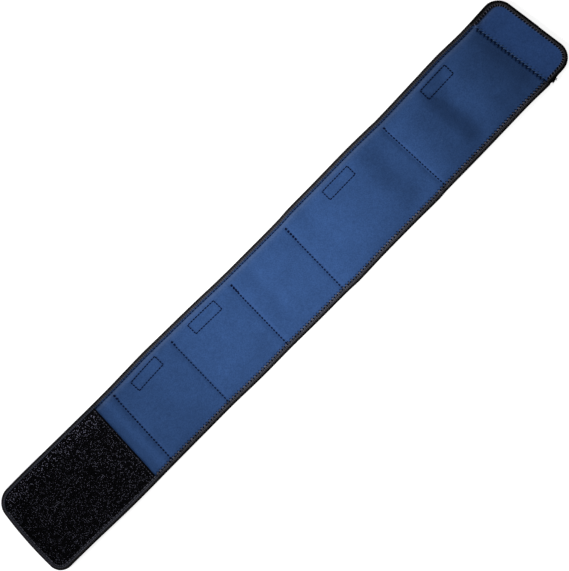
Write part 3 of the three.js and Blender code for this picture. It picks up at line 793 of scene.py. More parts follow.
def end_path():
    """The end binding's line: from the lower edge round the tab's end to the upper edge."""
    seam_x = line_x(ZIGZAG, np.array([HALF, -HALF])) + CLEARANCE / 2
    corner_upper, corner_lower = tab_end_x(np.array([HALF, -HALF]))
    lower_x = np.linspace(seam_x[1], corner_lower, 120)
    end_v = HALF * np.sin(np.linspace(-math.pi / 2, math.pi / 2, 500))
    upper_x = np.linspace(corner_upper, seam_x[0], 120)
    x = np.concatenate([lower_x, tab_end_x(end_v)[1:-1], upper_x])
    v = np.concatenate([np.full(120, -HALF), end_v[1:-1], np.full(120, HALF)])
    return resample(x, v, TAPE_STEP)


def inward_of(x, y):
    """Unit vectors to the left of a line, which is the belt's inner side, smoothed over a few places."""
    dx = np.gradient(x)
    dy = np.gradient(y)
    window = np.ones(9) / 9
    dx = np.convolve(np.pad(dx, 4, mode="edge"), window, mode="valid")
    dy = np.convolve(np.pad(dy, 4, mode="edge"), window, mode="valid")
    length = np.hypot(dx, dy)
    return -dy / length, dx / length


def level_at(x, y, inward, distance, fold):
    """Height of the fold's two faces at a distance in from the edge."""
    place_x = x + inward[0] * distance
    place_y = y + inward[1] * distance
    v = flat_v(place_x, place_y)
    return fold["bottom"](place_x, v) - CLEARANCE, fold["top"](place_x, v) + CLEARANCE


def tape_rings(x, y, stations, inward, tape, fold, out):
    """Cross-sections of a folded tape as (distance in, height) for each place, outer face then inner face."""
    thickness, lap = tape["thickness"], tape["shown_lap"]
    extra = thickness - TAPE["thickness"]
    rib = RIB_HEIGHT * np.cos(2 * math.pi * stations / RIB_PITCH)
    nose_low, nose_high = level_at(x, y, inward, thickness + CLEARANCE, fold)
    upper, lower, inner_upper, inner_lower = [], [], [], []
    for d in [lap, lap - 0.25, lap - 0.9, lap - 1.7, 0.60 * lap, 0.45 * lap, 0.3 * lap]:
        low, high = level_at(x, y, inward, d, fold)
        press = LIP_PRESS * smooth(lap - 2.2, lap - 0.5, d)
        curl = LIP_CURL if d == lap else 0.0
        ridge = RIDGE["height"] * math.exp(-(((d - RIDGE["at"]) / RIDGE["half_width"]) ** 2))
        upper.append((d, high + thickness - press - curl + ridge + rib))
        lower.append((d, low - thickness + extra + 0.05))
        inner_upper.append((d, high - press + 0.04))
        inner_lower.append((d, low + extra - 0.04))
    middle = (nose_low + nose_high) / 2
    reach_up = nose_high + thickness - middle
    reach_down = middle - (nose_low - thickness + extra)
    out = out + OUTWARD["ends"] + (OUTWARD["sides"] - OUTWARD["ends"]) * inward[1] ** 2
    nose = []
    for angle in np.linspace(math.pi / 2, -math.pi / 2, NOSE_POINTS):
        wide = max(0.0, math.cos(angle)) ** 0.7
        reach = reach_up if angle > 0 else reach_down
        depth = (NOSE_DEPTH + out + rib) * wide
        nose.append((NOSE_DEPTH - depth, middle + reach * math.sin(angle)))
    outer = upper + nose + lower[::-1]
    inner = [*inner_lower, (thickness, nose_low + extra), (thickness, nose_high), *inner_upper[::-1]]
    return outer + inner


def make_tape(name, binding, out, material, node):
    tape, fold, (x, y, stations) = BINDINGS[binding]
    inward = inward_of(x, y)
    section = tape_rings(x, y, stations, inward, tape, fold, out)
    distance = np.stack([np.broadcast_to(d, x.shape) for d, _ in section], axis=1)
    height = np.stack([np.broadcast_to(z, x.shape) for _, z in section], axis=1)
    points = np.stack([
        x[:, None] + inward[0][:, None] * distance,
        y[:, None] + inward[1][:, None] * distance,
        height,
    ], axis=-1)
    rings, size = distance.shape
    at = np.arange(rings * size).reshape(rings, size)
    around = np.roll(at, -1, axis=1)
    walls = np.stack([at[:-1], around[:-1], around[1:], at[1:]], axis=-1).reshape(-1, 4).tolist()
    caps = [at[0, ::-1].tolist(), at[-1].tolist()]
    piece = make_piece(name, points.reshape(-1, 3), walls + caps, material, [node])
    along = np.broadcast_to(stations[:, None], distance.shape)
    # Painted shade: the tape's nose is darker, and its dark lanes reach further in, where the tape faces away from the
    # light
    light_facing = smooth(-0.6, 0.9, -inward[1])[:, None]
    tone = 1 - (1 - light_facing) * PAINTED_NOSE_SHADE * (1 - smooth(0.8, 1.6, distance))
    lane = distance * lerp(SHADED_SIDE_LANE_STRETCH, 1.0, light_facing)
    for label, values in (("lane", lane), ("along", along), ("tone", tone)):
        layer = piece.data.attributes.new(label, "FLOAT", "POINT")
        layer.data.foreach_set("value", values.astype(np.float32).ravel())
    return piece


def thread_stitches(name, starts, ends, heights, radius, lift, material):
    """Short stitches as small arched tubes between pairs of plan places; heights are the cloth's at each."""
    start = np.stack([starts[:, 0], across(starts[:, 0], starts[:, 1]), heights[0]], axis=-1)
    end = np.stack([ends[:, 0], across(ends[:, 0], ends[:, 1]), heights[1]], axis=-1)
    t = np.array([0.0, 0.10, 0.30, 0.50, 0.70, 0.90, 1.0])
    rise = np.array([-0.9, 0.0, 0.8, 1.0, 0.8, 0.0, -0.9])
    full = np.array([0.55, 0.85, 1.0, 1.0, 1.0, 0.85, 0.55])
    centres = lerp(start[:, None, :], end[:, None, :], t[None, :, None])
    centres[:, :, 2] += lift * rise[None, :]
    radii = np.broadcast_to(np.reshape(radius, (-1, 1)) * full, centres.shape[:2])
    ups = np.tile(np.array([0.0, 0.0, 1.0]), (len(start), 1))
    points, faces = tubes(centres, radii, 6, ups)
    return make_piece(name, points, faces, material)


def run_of(start, end, pitch, share):
    """Stitches in a straight run: the share of each pitch that the thread shows."""
    length = math.hypot(end[0] - start[0], end[1] - start[1])
    count = max(1, int(round(length / pitch)))
    t = np.arange(count) / count
    t_end = t + share / count
    first, last = np.array(start), np.array(end)
    return first + np.outer(t, last - first), first + np.outer(t_end, last - first)


def make_seam_stitches(material):
    starts, ends, radii = [], [], []
    for seam in SEAMS[:-1]:
        low_v = -HALF + RIM - 1.5
        runs = [(low_v, seam["top"], 0.0)]
        if seam["backtack"]:
            runs.append((seam["top"] - seam["backtack"], seam["top"], 0.9))
        for from_v, to_v, shift in runs:
            first = (float(sewn_x(seam, from_v)) + shift, from_v)
            last = (float(sewn_x(seam, to_v)) + shift, to_v)
            a, b = run_of(first, last, STITCH_PITCH, 0.60)
            starts.append(a)
            ends.append(b)
            radii.append(np.full(len(a), seam["thread"]))
    starts, ends, radii = (np.concatenate(parts) for parts in (starts, ends, radii))
    heights = (cloth_top(starts[:, 0], starts[:, 1]), cloth_top(ends[:, 0], ends[:, 1]))
    return thread_stitches("seam_stitches", starts, ends, heights, radii, 0.30, material)


def make_box_stitches(material):
    starts, ends = [], []
    for row in CLOSURES:
        corners = box_corners(row)
        for k in range(4):
            a, b = run_of(corners[k], corners[(k + 1) % 4], BOX_PITCH, 0.72)
            starts.append(a)
            ends.append(b)
    starts, ends = np.concatenate(starts), np.concatenate(ends)
    heights = (cloth_top(starts[:, 0], starts[:, 1]), cloth_top(ends[:, 0], ends[:, 1]))
    return thread_stitches("box_stitches", starts, ends, heights, BOX_THREAD, 0.22, material)


def make_zigzag_stitches(name, first, thread, material):
    """The zigzag over the joint between main sheet and end tab: heavy strokes one way, or thin ones back."""
    v = np.arange(-HALF + RIM - 2, HALF - RIM + 2, ZIGZAG_STEP)
    side = np.where(np.arange(len(v)) % 2 == 0, -1.0, 1.0)
    x = line_x(ZIGZAG, v) + thread["shift"] + ZIGZAG_HALF_WIDTH * side
    starts = np.stack([x[:-1], v[:-1]], axis=-1)[first::2]
    ends = np.stack([x[1:], v[1:]], axis=-1)[first::2]
    heights = [cloth_top(places[:, 0], places[:, 1]) + 0.15 for places in (starts, ends)]
    return thread_stitches(name, starts, ends, heights, thread["radius"], 0.35, material)


def edge_stitch_places(path, from_station, to_station, inner, outer, pitch, share):
    """Stitches along a binding: from one distance in to another, at each pitch along it."""
    x, y, stations = path
    inward = inward_of(x, y)
    at = np.arange(from_station, to_station, pitch)

    def place(station, distance):
        px = np.interp(station, stations, x) + np.interp(station, stations, inward[0]) * distance
        py = np.interp(station, stations, y) + np.interp(station, stations, inward[1]) * distance
        return np.stack([px, flat_v(px, py)], axis=-1)

    return place(at, inner), place(at + share * pitch, outer)


def on_binding(places, tape, fold):
    """Height of the stitched face at a plan place: the tape's inside its lap, and the cloth's past it."""
    x, v = places[:, 0], places[:, 1]
    on_tape = fold["top"](x, v) + CLEARANCE + tape["thickness"] - LIP_PRESS
    on_cloth = fold["top"](x, v) + 0.35
    return lerp(on_tape, on_cloth, smooth(tape["shown_lap"] - 0.6, tape["shown_lap"] + 0.5, from_rim(x, v)))


EDGE_FOLD = {"bottom": edge_bottom, "top": edge_top}
END_FOLD = {"bottom": base, "top": tab_top}
BINDINGS = {"edge": (TAPE, EDGE_FOLD, edge_path()), "end": (END_TAPE, END_FOLD, end_path())}


def edge_out(stations):
    """The edge binding stands out a little where it runs under the end tab's tape."""
    return LAST_STRETCH["out"] * smooth(-LAST_STRETCH["length"], 0, stations - stations[-1])


def end_out(x, y):
    """The end binding's cut tail stands out, and past it the tape lies tighter."""
    tail_x = float(line_x(ZIGZAG, -HALF)) + TAIL_FROM_SEAM
    start, end = tail_x - TAIL_LENGTH / 2, tail_x + TAIL_LENGTH / 2
    near = smooth(start - 0.3, start + 1.2, x) * (1 - smooth(tail_x - 1.0, end + 0.4, x))
    past = smooth(end, end + TAIL_LENGTH / 2, x)
    return (TAIL_OUT * near - TIGHTER * past) * (y < 0)


def border_stations(path):
    """How far along the edge binding's line the hook panel's border meets it, on its way out and back."""
    x, _, stations = path
    side = int(0.45 * len(x))
    out = np.interp(-line_x(HOOK_BORDER, HALF), -x[:side], stations[:side])
    back = np.interp(line_x(HOOK_BORDER, -HALF), x[-side:], stations[-side:])
    return float(out), float(back)


def make_edge_stitches(name, part, material):
    """One kind of stitch along a binding, from a row of the table of edge stitches."""
    tape, fold, path = BINDINGS[part["binding"]]
    _, _, stations = path
    stops = {"start": 2.0, "end": stations[-1] - 2.0}
    if part["binding"] == "edge":
        stops["border"], stops["border_back"] = border_stations(path)
        stops["hook_end"] = (stops["border"] + stops["border_back"]) / 2 - BELT_WIDTH / 3
        stops["border_back"] += 2.0
    starts, ends = edge_stitch_places(path, stops[part["from"]] + part["shift"], stops[part["to"]],
                                      part["inner"], part["outer"], part["pitch"], part["share"])
    heights = [on_binding(places, tape, fold) + part["raise"] for places in (starts, ends)]
    return thread_stitches(name, starts, ends, heights, part["radius"], part["lift"], material)


def make_border_stitches(material):
    """The row that holds the hook panel's inner border."""
    v = np.arange(-HALF + RIM - 1, HALF - RIM + 1, 3.4)
    starts = np.stack([line_x(HOOK_BORDER, v) - PANEL_STITCH_IN, v], axis=-1)
    ends = np.stack([line_x(HOOK_BORDER, v + 2.1) - PANEL_STITCH_IN, v + 2.1], axis=-1)
    heights = [hook_top(places[:, 0], places[:, 1]) - 0.1 for places in (starts, ends)]
    return thread_stitches("border_stitches", starts, ends, heights, 0.34, 0.30, material)


def make_loose_threads(material):
    """A few short thread ends at the tape's tail."""
    rng = np.random.RandomState(RANDOM_SEED + 2)
    tail_x = float(line_x(ZIGZAG, -HALF)) + TAIL_FROM_SEAM
    count, rings = 14, 9
    x0 = tail_x + rng.uniform(-2.5, 3.5, count)
    y0 = edge(LOWER, x0) - rng.uniform(0.2, 1.4, count)
    z0 = rng.uniform(2.0, 4.6, count)
    heading = rng.uniform(-2.5, -0.4, count)
    length = rng.uniform(1.2, 2.6, count)
    bend = rng.uniform(-1.2, 1.2, count)
    t = np.linspace(0, 1, rings)
    turn = heading[:, None] + bend[:, None] * t
    step = length[:, None] / (rings - 1)
    centres = np.stack([
        x0[:, None] + np.cumsum(np.cos(turn) * step, axis=1),
        y0[:, None] + np.cumsum(np.sin(turn) * step, axis=1) * 0.8,
        z0[:, None] - 1.2 * t[None, :] ** 2 * length[:, None] / 3,
    ], axis=-1)
    radii = np.broadcast_to(0.22 - 0.08 * t, centres.shape[:2])
    ups = np.tile(np.array([0.0, 0.0, 1.0]), (count, 1))
    points, faces = tubes(centres, radii, 6, ups)
    return make_piece("loose_threads", points, faces, material)


def make_pack(row, material):
    """A flat sewn pack with rounded corners, thin at its border and full in its middle."""
    u = np.linspace(-1, 1, 41)
    a, b = np.meshgrid(u, u, indexing="ij")
    radius = PACK_CORNER / (PACK_WIDTH / 2)
    over = np.maximum(0.0, np.maximum(np.abs(a), np.abs(b)) - (1 - radius)) / radius
    other = np.maximum(0.0, np.minimum(np.abs(a), np.abs(b)) - (1 - radius)) / radius
    tuck = 1 - (1 - math.sqrt(0.5)) * radius * np.minimum(over, other) ** 1.5
    v = PACK_MIDDLE + PACK_WIDTH / 2 * b * tuck
    x = pocket_x(row["pocket"], row["middle"], v) + PACK_LENGTH / 2 * a * tuck
    fill = (1 - np.abs(a) ** 6) * (1 - np.abs(b) ** 6)
    low = pocket_top(x, v) + CLEARANCE
    high = main_bottom(x, v) - PACK_HEADROOM
    room = np.maximum(high - low, 0.4)
    border = low + 0.2 * room
    top = border + 0.25 + (0.8 * room - 0.25) * np.sqrt(fill)
    bottom = border - 0.2 * room * np.sqrt(fill)
    piece = slab(row["name"], x, v, bottom, top, material, [row["node"]])
    return piece


def make_closure(row, material):
    along, crosswise = np.meshgrid(np.linspace(0, 1, 45), np.linspace(0, 1, 17), indexing="ij")
    x, v = closure_plan(row, along, crosswise)
    near = np.minimum(np.minimum(along, 1 - along) * CLOSURE_LENGTH, np.minimum(crosswise, 1 - crosswise) * CLOSURE_WIDTH)
    drop = rounded(near, 0.5)
    low = pocket_top(x, v) + CLEARANCE
    nap = 0.06 * np.sin(along * 210) * np.sin(crosswise * 90)
    top = low + CLOSURE_THICKNESS - 0.6 * drop + nap - 0.1
    piece = slab(row["name"], x, v, low + 0.4 * drop, top, material, [row["node"]])
    return piece


# Shades of the two tapes by the distance in from the edge, in millimetres; darker toward the folded nose is partly
# painted shade, and the lighter line over the ridge is partly painted highlight
LANE_SPAN = 8.0
GREY_LANES = [(0.0, (0.010, 0.010, 0.011)), (0.9, (0.014, 0.014, 0.017)), (1.6, (0.024, 0.023, 0.026)),
              (2.3, (0.030, 0.029, 0.034)), (2.9, (0.070, 0.070, 0.082)), (3.4, (0.050, 0.053, 0.068)),
              (3.9, (0.068, 0.076, 0.110)), (4.4, (0.045, 0.060, 0.105))]
BLACK_LANES = [(0.0, (0.002, 0.002, 0.002)), (2.0, (0.005, 0.005, 0.0055)), (2.9, (0.014, 0.014, 0.015)),
               (3.6, (0.034, 0.034, 0.038)), (4.3, (0.036, 0.036, 0.045)), (4.9, (0.026, 0.026, 0.034)),
               (5.5, (0.006, 0.008, 0.014))]


# Share of pale fuzz on the blue cloth by the distance in from the belt's upper edge, in millimetres; it is partly a
# painted highlight where the cloth turns toward the light at that edge
FUZZ_AND_HIGHLIGHT_SPAN = 20.0
FUZZ_AND_HIGHLIGHT = [(0.0, 0.0), (6.2, 0.0), (7.2, 0.50), (8.6, 0.42), (11.0, 0.12), (15.0, 0.0)]


# Materials
def shader(name):
    material = bpy.data.materials.new(name)
    material.use_nodes = True
    nodes = material.node_tree.nodes
    return material, nodes, material.node_tree.links, nodes["Principled BSDF"]


def millimetres(nodes, links, stretch=(1.0, 1.0, 1.0)):
    """Object coordinates as millimetres, stretched along each axis."""
    place = nodes.new("ShaderNodeTexCoord")
    scale = nodes.new("ShaderNodeMapping")
    scale.inputs["Scale"].default_value = [1000 * s for s in stretch]
    links.new(place.outputs["Object"], scale.inputs["Vector"])
    return scale.outputs["Vector"]


def noise(nodes, links, vector, size, detail=2.0, roughness=0.5):
    node = nodes.new("ShaderNodeTexNoise")
    node.inputs["Scale"].default_value = 1.0 / size
    node.inputs["Detail"].default_value = detail
    node.inputs["Roughness"].default_value = roughness
    links.new(vector, node.inputs["Vector"])
    return node.outputs["Fac"]


def ramp_node(nodes, links, value, stops):
    node = nodes.new("ShaderNodeValToRGB")
    ramp_stops = node.color_ramp.elements
    while len(ramp_stops) < len(stops):
        ramp_stops.new(0.5)
    for stop, (position, color) in zip(ramp_stops, stops):
        stop.position = position
        stop.color = (*color, 1.0)
    links.new(value, node.inputs["Fac"])
    return node.outputs["Color"]


def mix(nodes, links, mode, share, a, b):
    node = nodes.new("ShaderNodeMix")
    node.data_type = "RGBA"
    node.blend_type = mode
    for socket, value in ((node.inputs["Factor"], share), (node.inputs[6], a), (node.inputs[7], b)):
        if isinstance(value, bpy.types.NodeSocket):
            links.new(value, socket)
        else:
            socket.default_value = value
    return node.outputs[2]


def bump(nodes, links, height, strength, distance, normal=None):
    node = nodes.new("ShaderNodeBump")
    node.inputs["Strength"].default_value = strength
    node.inputs["Distance"].default_value = distance / 1000
    links.new(height, node.inputs["Height"])
    if normal is not None:
        links.new(normal, node.inputs["Normal"])
    return node.outputs["Normal"]


def grey(value):
    return (value, value, value)


def knit(nodes, links):
    """Height of a fine jersey knit: narrow wales along the belt, crossed by short courses."""
    along = nodes.new("ShaderNodeTexWave")
    along.bands_direction = "Y"
    along.inputs["Scale"].default_value = 0.314 / 0.9
    along.inputs["Distortion"].default_value = 0.6
    across_wave = nodes.new("ShaderNodeTexWave")
    across_wave.bands_direction = "X"
    across_wave.inputs["Scale"].default_value = 0.314 / 0.7
    across_wave.inputs["Distortion"].default_value = 0.8
    vector = millimetres(nodes, links)
    links.new(vector, along.inputs["Vector"])
    links.new(vector, across_wave.inputs["Vector"])
    return mix(nodes, links, "MULTIPLY", 0.7, along.outputs["Color"], across_wave.outputs["Color"])


def make_neoprene(name, tint):
    """Blue jersey on neoprene: knit, a soft mottle, a little lint, and pale fuzz with a painted highlight along the
    upper edge.
    """
    material, nodes, links, out = shader(name)
    vector = millimetres(nodes, links)
    fine = noise(nodes, links, vector, 1.6, 3.0, 0.6)
    mottle = noise(nodes, links, vector, 5.0, 2.0, 0.6)
    broad = noise(nodes, links, vector, 24.0, 2.0)
    shades = [tuple(a * b for a, b in zip(shade, tint)) for shade in ((0.029, 0.076, 0.216), (0.044, 0.106, 0.284))]
    color = ramp_node(nodes, links, fine, [(0.30, shades[0]), (0.70, shades[1])])
    for value in (broad, mottle):
        tone = ramp_node(nodes, links, value, [(0.30, grey(0.94)), (0.70, grey(1.06))])
        color = mix(nodes, links, "MULTIPLY", 1.0, color, tone)
    loops = knit(nodes, links)
    shade = ramp_node(nodes, links, loops, [(0.0, grey(0.86)), (0.8, grey(1.05))])
    color = mix(nodes, links, "MULTIPLY", 1.0, color, shade)
    lint = nodes.new("ShaderNodeTexVoronoi")
    lint.inputs["Scale"].default_value = 1 / 26.0
    links.new(vector, lint.inputs["Vector"])
    speck = ramp_node(nodes, links, lint.outputs["Distance"], [(0.014, grey(1.0)), (0.024, grey(0.0))])
    color = mix(nodes, links, "MIX", speck, color, (0.10, 0.19, 0.36, 1.0))
    # Pale fuzz and painted highlight along the upper edge, where the cloth turns toward the light
    rim = arithmetic(nodes, links, "DIVIDE", stored(nodes, "rim"), FUZZ_AND_HIGHLIGHT_SPAN)
    fuzz_and_highlight = ramp_node(nodes, links, rim, [(at / FUZZ_AND_HIGHLIGHT_SPAN, grey(share)) for at, share in FUZZ_AND_HIGHLIGHT])
    fuzz_and_highlight = mix(nodes, links, "MULTIPLY", 1.0, fuzz_and_highlight, fine)
    color = mix(nodes, links, "MIX", fuzz_and_highlight, color, (0.16, 0.20, 0.28, 1.0))
    links.new(color, out.inputs["Base Color"])
    normal = bump(nodes, links, loops, 0.5, 0.12)
    normal = bump(nodes, links, fine, 0.35, 0.25, normal)
    links.new(normal, out.inputs["Normal"])
    out.inputs["Roughness"].default_value = 0.88
    out.inputs["Specular IOR Level"].default_value = 0.08
    out.inputs["Sheen Weight"].default_value = 0.04
    out.inputs["Sheen Roughness"].default_value = 0.5
    out.inputs["Sheen Tint"].default_value = (0.55, 0.68, 0.95, 1.0)
    return material


def stored(nodes, label):
    """A number that a piece keeps at each of its points."""
    node = nodes.new("ShaderNodeAttribute")
    node.attribute_name = label
    return node.outputs["Fac"]


def arithmetic(nodes, links, operation, *values):
    node = nodes.new("ShaderNodeMath")
    node.operation = operation
    for socket, value in zip(node.inputs, values):
        if isinstance(value, bpy.types.NodeSocket):
            links.new(value, socket)
        else:
            socket.default_value = value
    return node.outputs["Value"]


def make_tape_material(name, lanes, rough):
    """Ribbed woven tape: lanes of shade from its nose to its inner edge (partly painted shade and painted highlight),
    painted shade on the nose where it faces away from the light, cross ribs and fine flecks.
    """
    material, nodes, links, out = shader(name)
    vector = millimetres(nodes, links)
    flecks = noise(nodes, links, vector, 0.9, 3.0, 0.7)
    broad = noise(nodes, links, vector, 9.0, 2.0)
    lane = arithmetic(nodes, links, "DIVIDE", stored(nodes, "lane"), LANE_SPAN)
    color = ramp_node(nodes, links, lane, [(at / LANE_SPAN, shade) for at, shade in lanes])
    turn = arithmetic(nodes, links, "MULTIPLY", stored(nodes, "along"), 2 * math.pi / RIB_PITCH)
    rib = arithmetic(nodes, links, "COSINE", turn)
    rib = arithmetic(nodes, links, "MULTIPLY_ADD", rib, 0.5, 0.5)
    # Painted shade on the tape's nose where it faces away from the light, kept as the tone at each point
    color = mix(nodes, links, "MULTIPLY", 1.0, color, stored(nodes, "tone"))
    for value, dark, light in ((rib, 0.62, 1.30), (flecks, 0.45, 1.55), (broad, 0.80, 1.20)):
        tone = ramp_node(nodes, links, value, [(0.25, grey(dark)), (0.75, grey(light))])
        color = mix(nodes, links, "MULTIPLY", 1.0, color, tone)
    links.new(color, out.inputs["Base Color"])
    links.new(bump(nodes, links, flecks, 0.6, 0.2), out.inputs["Normal"])
    out.inputs["Roughness"].default_value = rough
    out.inputs["Specular IOR Level"].default_value = 0.03
    return material


def make_thread(name, dark, light, rough):
    """Sewing thread: twisted strands, each stitch a little lighter or darker."""
    material, nodes, links, out = shader(name)
    island = nodes.new("ShaderNodeNewGeometry")
    vector = millimetres(nodes, links)
    strands = noise(nodes, links, vector, 0.35, 2.0)
    color = ramp_node(nodes, links, island.outputs["Random Per Island"], [(0.0, dark), (1.0, light)])
    tone = ramp_node(nodes, links, strands, [(0.3, grey(0.7)), (0.7, grey(1.25))])
    links.new(mix(nodes, links, "MULTIPLY", 1.0, color, tone), out.inputs["Base Color"])
    links.new(bump(nodes, links, strands, 0.5, 0.1), out.inputs["Normal"])
    out.inputs["Roughness"].default_value = rough
    out.inputs["Specular IOR Level"].default_value = 0.06
    return material


def make_hook_material(name, dark, light, rough, layer=None):
    """Black moulded hooks: some catch the light more than others."""
    material, nodes, links, out = shader(name)
    island = nodes.new("ShaderNodeNewGeometry")
    vector = millimetres(nodes, links)
    broad = noise(nodes, links, vector, 7.0, 3.0, 0.6)
    color = ramp_node(nodes, links, island.outputs["Random Per Island"], [(0.0, dark), (0.60, dark), (1.0, light)])
    tone = ramp_node(nodes, links, broad, [(0.35, grey(0.75)), (0.70, grey(1.25))])
    color = mix(nodes, links, "MULTIPLY", 1.0, color, tone)
    if layer:
        color = mix(nodes, links, "MULTIPLY", 1.0, color, stored(nodes, layer))
    links.new(color, out.inputs["Base Color"])
    out.inputs["Roughness"].default_value = rough
    out.inputs["Specular IOR Level"].default_value = 0.08
    return material


def make_field_material():
    """Black woven ground under the hooks."""
    material, nodes, links, out = shader("hook_ground")
    vector = millimetres(nodes, links)
    weave = noise(nodes, links, vector, 0.8, 3.0, 0.7)
    color = ramp_node(nodes, links, weave, [(0.3, (0.001, 0.001, 0.0014)), (0.75, (0.006, 0.006, 0.008))])
    links.new(color, out.inputs["Base Color"])
    links.new(bump(nodes, links, weave, 0.7, 0.3), out.inputs["Normal"])
    out.inputs["Roughness"].default_value = 0.8
    out.inputs["Specular IOR Level"].default_value = 0.03
    return material


def make_pack_material():
    """Coarse grey pack cloth."""
    material, nodes, links, out = shader("pack_cloth_grey")
    vector = millimetres(nodes, links)
    warp = nodes.new("ShaderNodeTexWave")
    warp.bands_direction = "X"
    warp.inputs["Scale"].default_value = 0.314
    weft = nodes.new("ShaderNodeTexWave")
    weft.bands_direction = "Y"
    weft.inputs["Scale"].default_value = 0.314
    links.new(vector, warp.inputs["Vector"])
    links.new(vector, weft.inputs["Vector"])
    weave = mix(nodes, links, "MIX", 0.5, warp.outputs["Color"], weft.outputs["Color"])
    flecks = noise(nodes, links, vector, 2.2, 3.0)
    color = ramp_node(nodes, links, weave, [(0.2, (0.055, 0.058, 0.062)), (0.8, (0.115, 0.118, 0.124))])
    tone = ramp_node(nodes, links, flecks, [(0.3, grey(0.85)), (0.7, grey(1.1))])
    links.new(mix(nodes, links, "MULTIPLY", 1.0, color, tone), out.inputs["Base Color"])
    links.new(bump(nodes, links, weave, 0.8, 0.3), out.inputs["Normal"])
    out.inputs["Roughness"].default_value = 0.85
    out.inputs["Specular IOR Level"].default_value = 0.25
    return material


def make_floor():
    """A plain white surface, lit evenly enough that the belt hardly shades it."""
    half = 30.0
    mesh = bpy.data.meshes.new("floor")
    corners = [(-half, -half, 0.0), (half, -half, 0.0), (half, half, 0.0), (-half, half, 0.0)]
    mesh.from_pydata(corners, [], [(0, 1, 2, 3)])
    floor = bpy.data.objects.new("floor", mesh)
    floor.location.z = -0.0004
    bpy.context.scene.collection.objects.link(floor)
    material, nodes, links, out = shader("floor_white")
    faint = noise(nodes, links, millimetres(nodes, links), 400.0, 1.0)
    color = ramp_node(nodes, links, faint, [(0.0, grey(0.80)), (1.0, grey(0.84))])
    links.new(color, out.inputs["Base Color"])
    out.inputs["Roughness"].default_value = 0.9
    out.inputs["Specular IOR Level"].default_value = 0.0
    out.inputs["Emission Color"].default_value = (1.0, 1.0, 1.0, 1.0)
    out.inputs["Emission Strength"].default_value = FLOOR_GLOW
    mesh.materials.append(material)


# Lights: a soft overhead panel near the belt, a low sun-like light from the left, and an even surround
FLOOR_GLOW = 0.85
SURROUND = 0.13
OVERHEAD = {"place": (0.003, 0.0, 0.15), "length": 0.36, "width": 0.20, "watts": 0.29}
SIDE = {"elevation": 25.0, "azimuth": 150.0, "angle": 26.0, "strength": 2.35}


def make_lights():
    world = bpy.data.worlds.new("studio")
    world.use_nodes = True
    world.node_tree.nodes["Background"].inputs["Color"].default_value = (1.0, 1.0, 1.0, 1.0)
    world.node_tree.nodes["Background"].inputs["Strength"].default_value = SURROUND
    bpy.context.scene.world = world

    panel = bpy.data.lights.new("overhead", "AREA")
    panel.shape = "RECTANGLE"
    panel.size = OVERHEAD["length"]
    panel.size_y = OVERHEAD["width"]
    panel.energy = OVERHEAD["watts"]
    lamp = bpy.data.objects.new("overhead", panel)
    lamp.location = OVERHEAD["place"]
    lamp.visible_camera = False
    bpy.context.scene.collection.objects.link(lamp)

    sun = bpy.data.lights.new("side", "SUN")
    sun.energy = SIDE["strength"]
    sun.angle = math.radians(SIDE["angle"])
    lamp = bpy.data.objects.new("side", sun)
    azimuth, elevation = math.radians(SIDE["azimuth"]), math.radians(SIDE["elevation"])
    toward = Vector((math.cos(azimuth) * math.cos(elevation), math.sin(azimuth) * math.cos(elevation),
                     math.sin(elevation)))
    lamp.rotation_mode = "QUATERNION"
    lamp.rotation_quaternion = toward.to_track_quat("Z", "Y")
    bpy.context.scene.collection.objects.link(lamp)


# Camera: straight above the belt with a long lens, turned so that the belt runs up to the right
LENS = 200.0
SENSOR = 36.0
VIEW_HEIGHT = 0.6509
VIEW_CENTRE = (-0.00118, -0.00294)
ROLL = 45.17


def make_camera():
    data = bpy.data.cameras.new("camera")
    data.lens = LENS
    data.sensor_width = SENSOR
    data.sensor_fit = "AUTO"
    camera = bpy.data.objects.new("camera", data)
    distance = LENS / SENSOR * VIEW_HEIGHT
    camera.location = (*VIEW_CENTRE, distance)
    camera.rotation_euler = (0.0, 0.0, -math.radians(ROLL))
    data.clip_start, data.clip_end = 0.1, 50.0
    bpy.context.scene.collection.objects.link(camera)
    bpy.context.scene.camera = camera


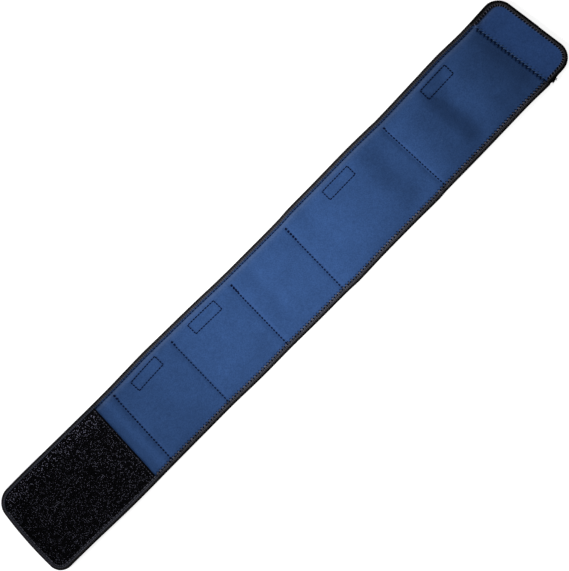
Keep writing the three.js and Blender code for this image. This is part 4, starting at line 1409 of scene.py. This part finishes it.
def build_belt():
    neoprene = make_neoprene("neoprene_blue", (1.0, 1.0, 1.0))
    # A bluer copy of the blue cloth for the end tab, which lies in shade: painted shade tint
    shade_tinted_tab_neoprene = make_neoprene("neoprene_tab_shade_tint", (1.02, 1.06, 1.15))
    tape = make_tape_material("tape_grey", GREY_LANES, 0.8)
    end_tape = make_tape_material("tape_black", BLACK_LANES, 0.75)
    black_thread = make_thread("thread_black", (0.001, 0.002, 0.005), (0.003, 0.004, 0.009), 0.9)
    navy_thread = make_thread("thread_navy", (0.001, 0.003, 0.018), (0.003, 0.008, 0.045), 0.9)
    # Dark thread painted light grey where it glints on the black tape and panel: painted highlight
    glint_grey_thread = make_thread("thread_grey_painted_glint", (0.06, 0.06, 0.075), (0.17, 0.17, 0.21), 0.8)
    # Thin zigzag strokes: dark thread painted pale blue for its highlight
    highlight_pale_thread = make_thread("thread_pale_painted_highlight", (0.060, 0.120, 0.240), (0.110, 0.180, 0.330), 0.8)
    deep_thread = make_thread("thread_deep", (0.002, 0.009, 0.045), (0.005, 0.018, 0.075), 0.8)
    hooks = make_hook_material("hook_black", (0.003, 0.003, 0.004), (0.42, 0.43, 0.58), 0.6, "bright")
    ground = make_field_material()
    closure = make_hook_material("closure_black", (0.006, 0.006, 0.007), (0.03, 0.03, 0.03), 0.5)
    pack = make_pack_material()

    make_main_cloth(neoprene)
    make_pocket_cloth(neoprene)
    make_tab_cloth(shade_tinted_tab_neoprene)
    field = make_hook_field(ground)
    pile = make_hook_pile(hooks)
    make_tape("edge_tape", "edge", edge_out(BINDINGS["edge"][2][2]), tape, "edge_binding")
    make_tape("end_tape", "end", end_out(*BINDINGS["end"][2][:2]), end_tape, "end_binding")
    for row in PACKS:
        make_pack(row, pack)
    for row in CLOSURES:
        make_closure(row, closure)
    make_seam_stitches(navy_thread)
    make_box_stitches(navy_thread)
    make_zigzag_stitches("zigzag_stitches", 0, ZIGZAG_HEAVY, deep_thread)
    # Thin return strokes in pale thread: painted highlight
    make_zigzag_stitches("zigzag_returns", 1, ZIGZAG_THIN, highlight_pale_thread)
    threads = {"black": black_thread, "navy": navy_thread, "grey": glint_grey_thread}
    for name, part in EDGE_STITCHES.items():
        make_edge_stitches(name, part, threads[part["thread"]])
    make_border_stitches(glint_grey_thread)
    make_loose_threads(end_tape)


make_camera()
build_belt()
make_floor()
make_lights()
bpy.context.scene.view_settings.view_transform = "Standard"
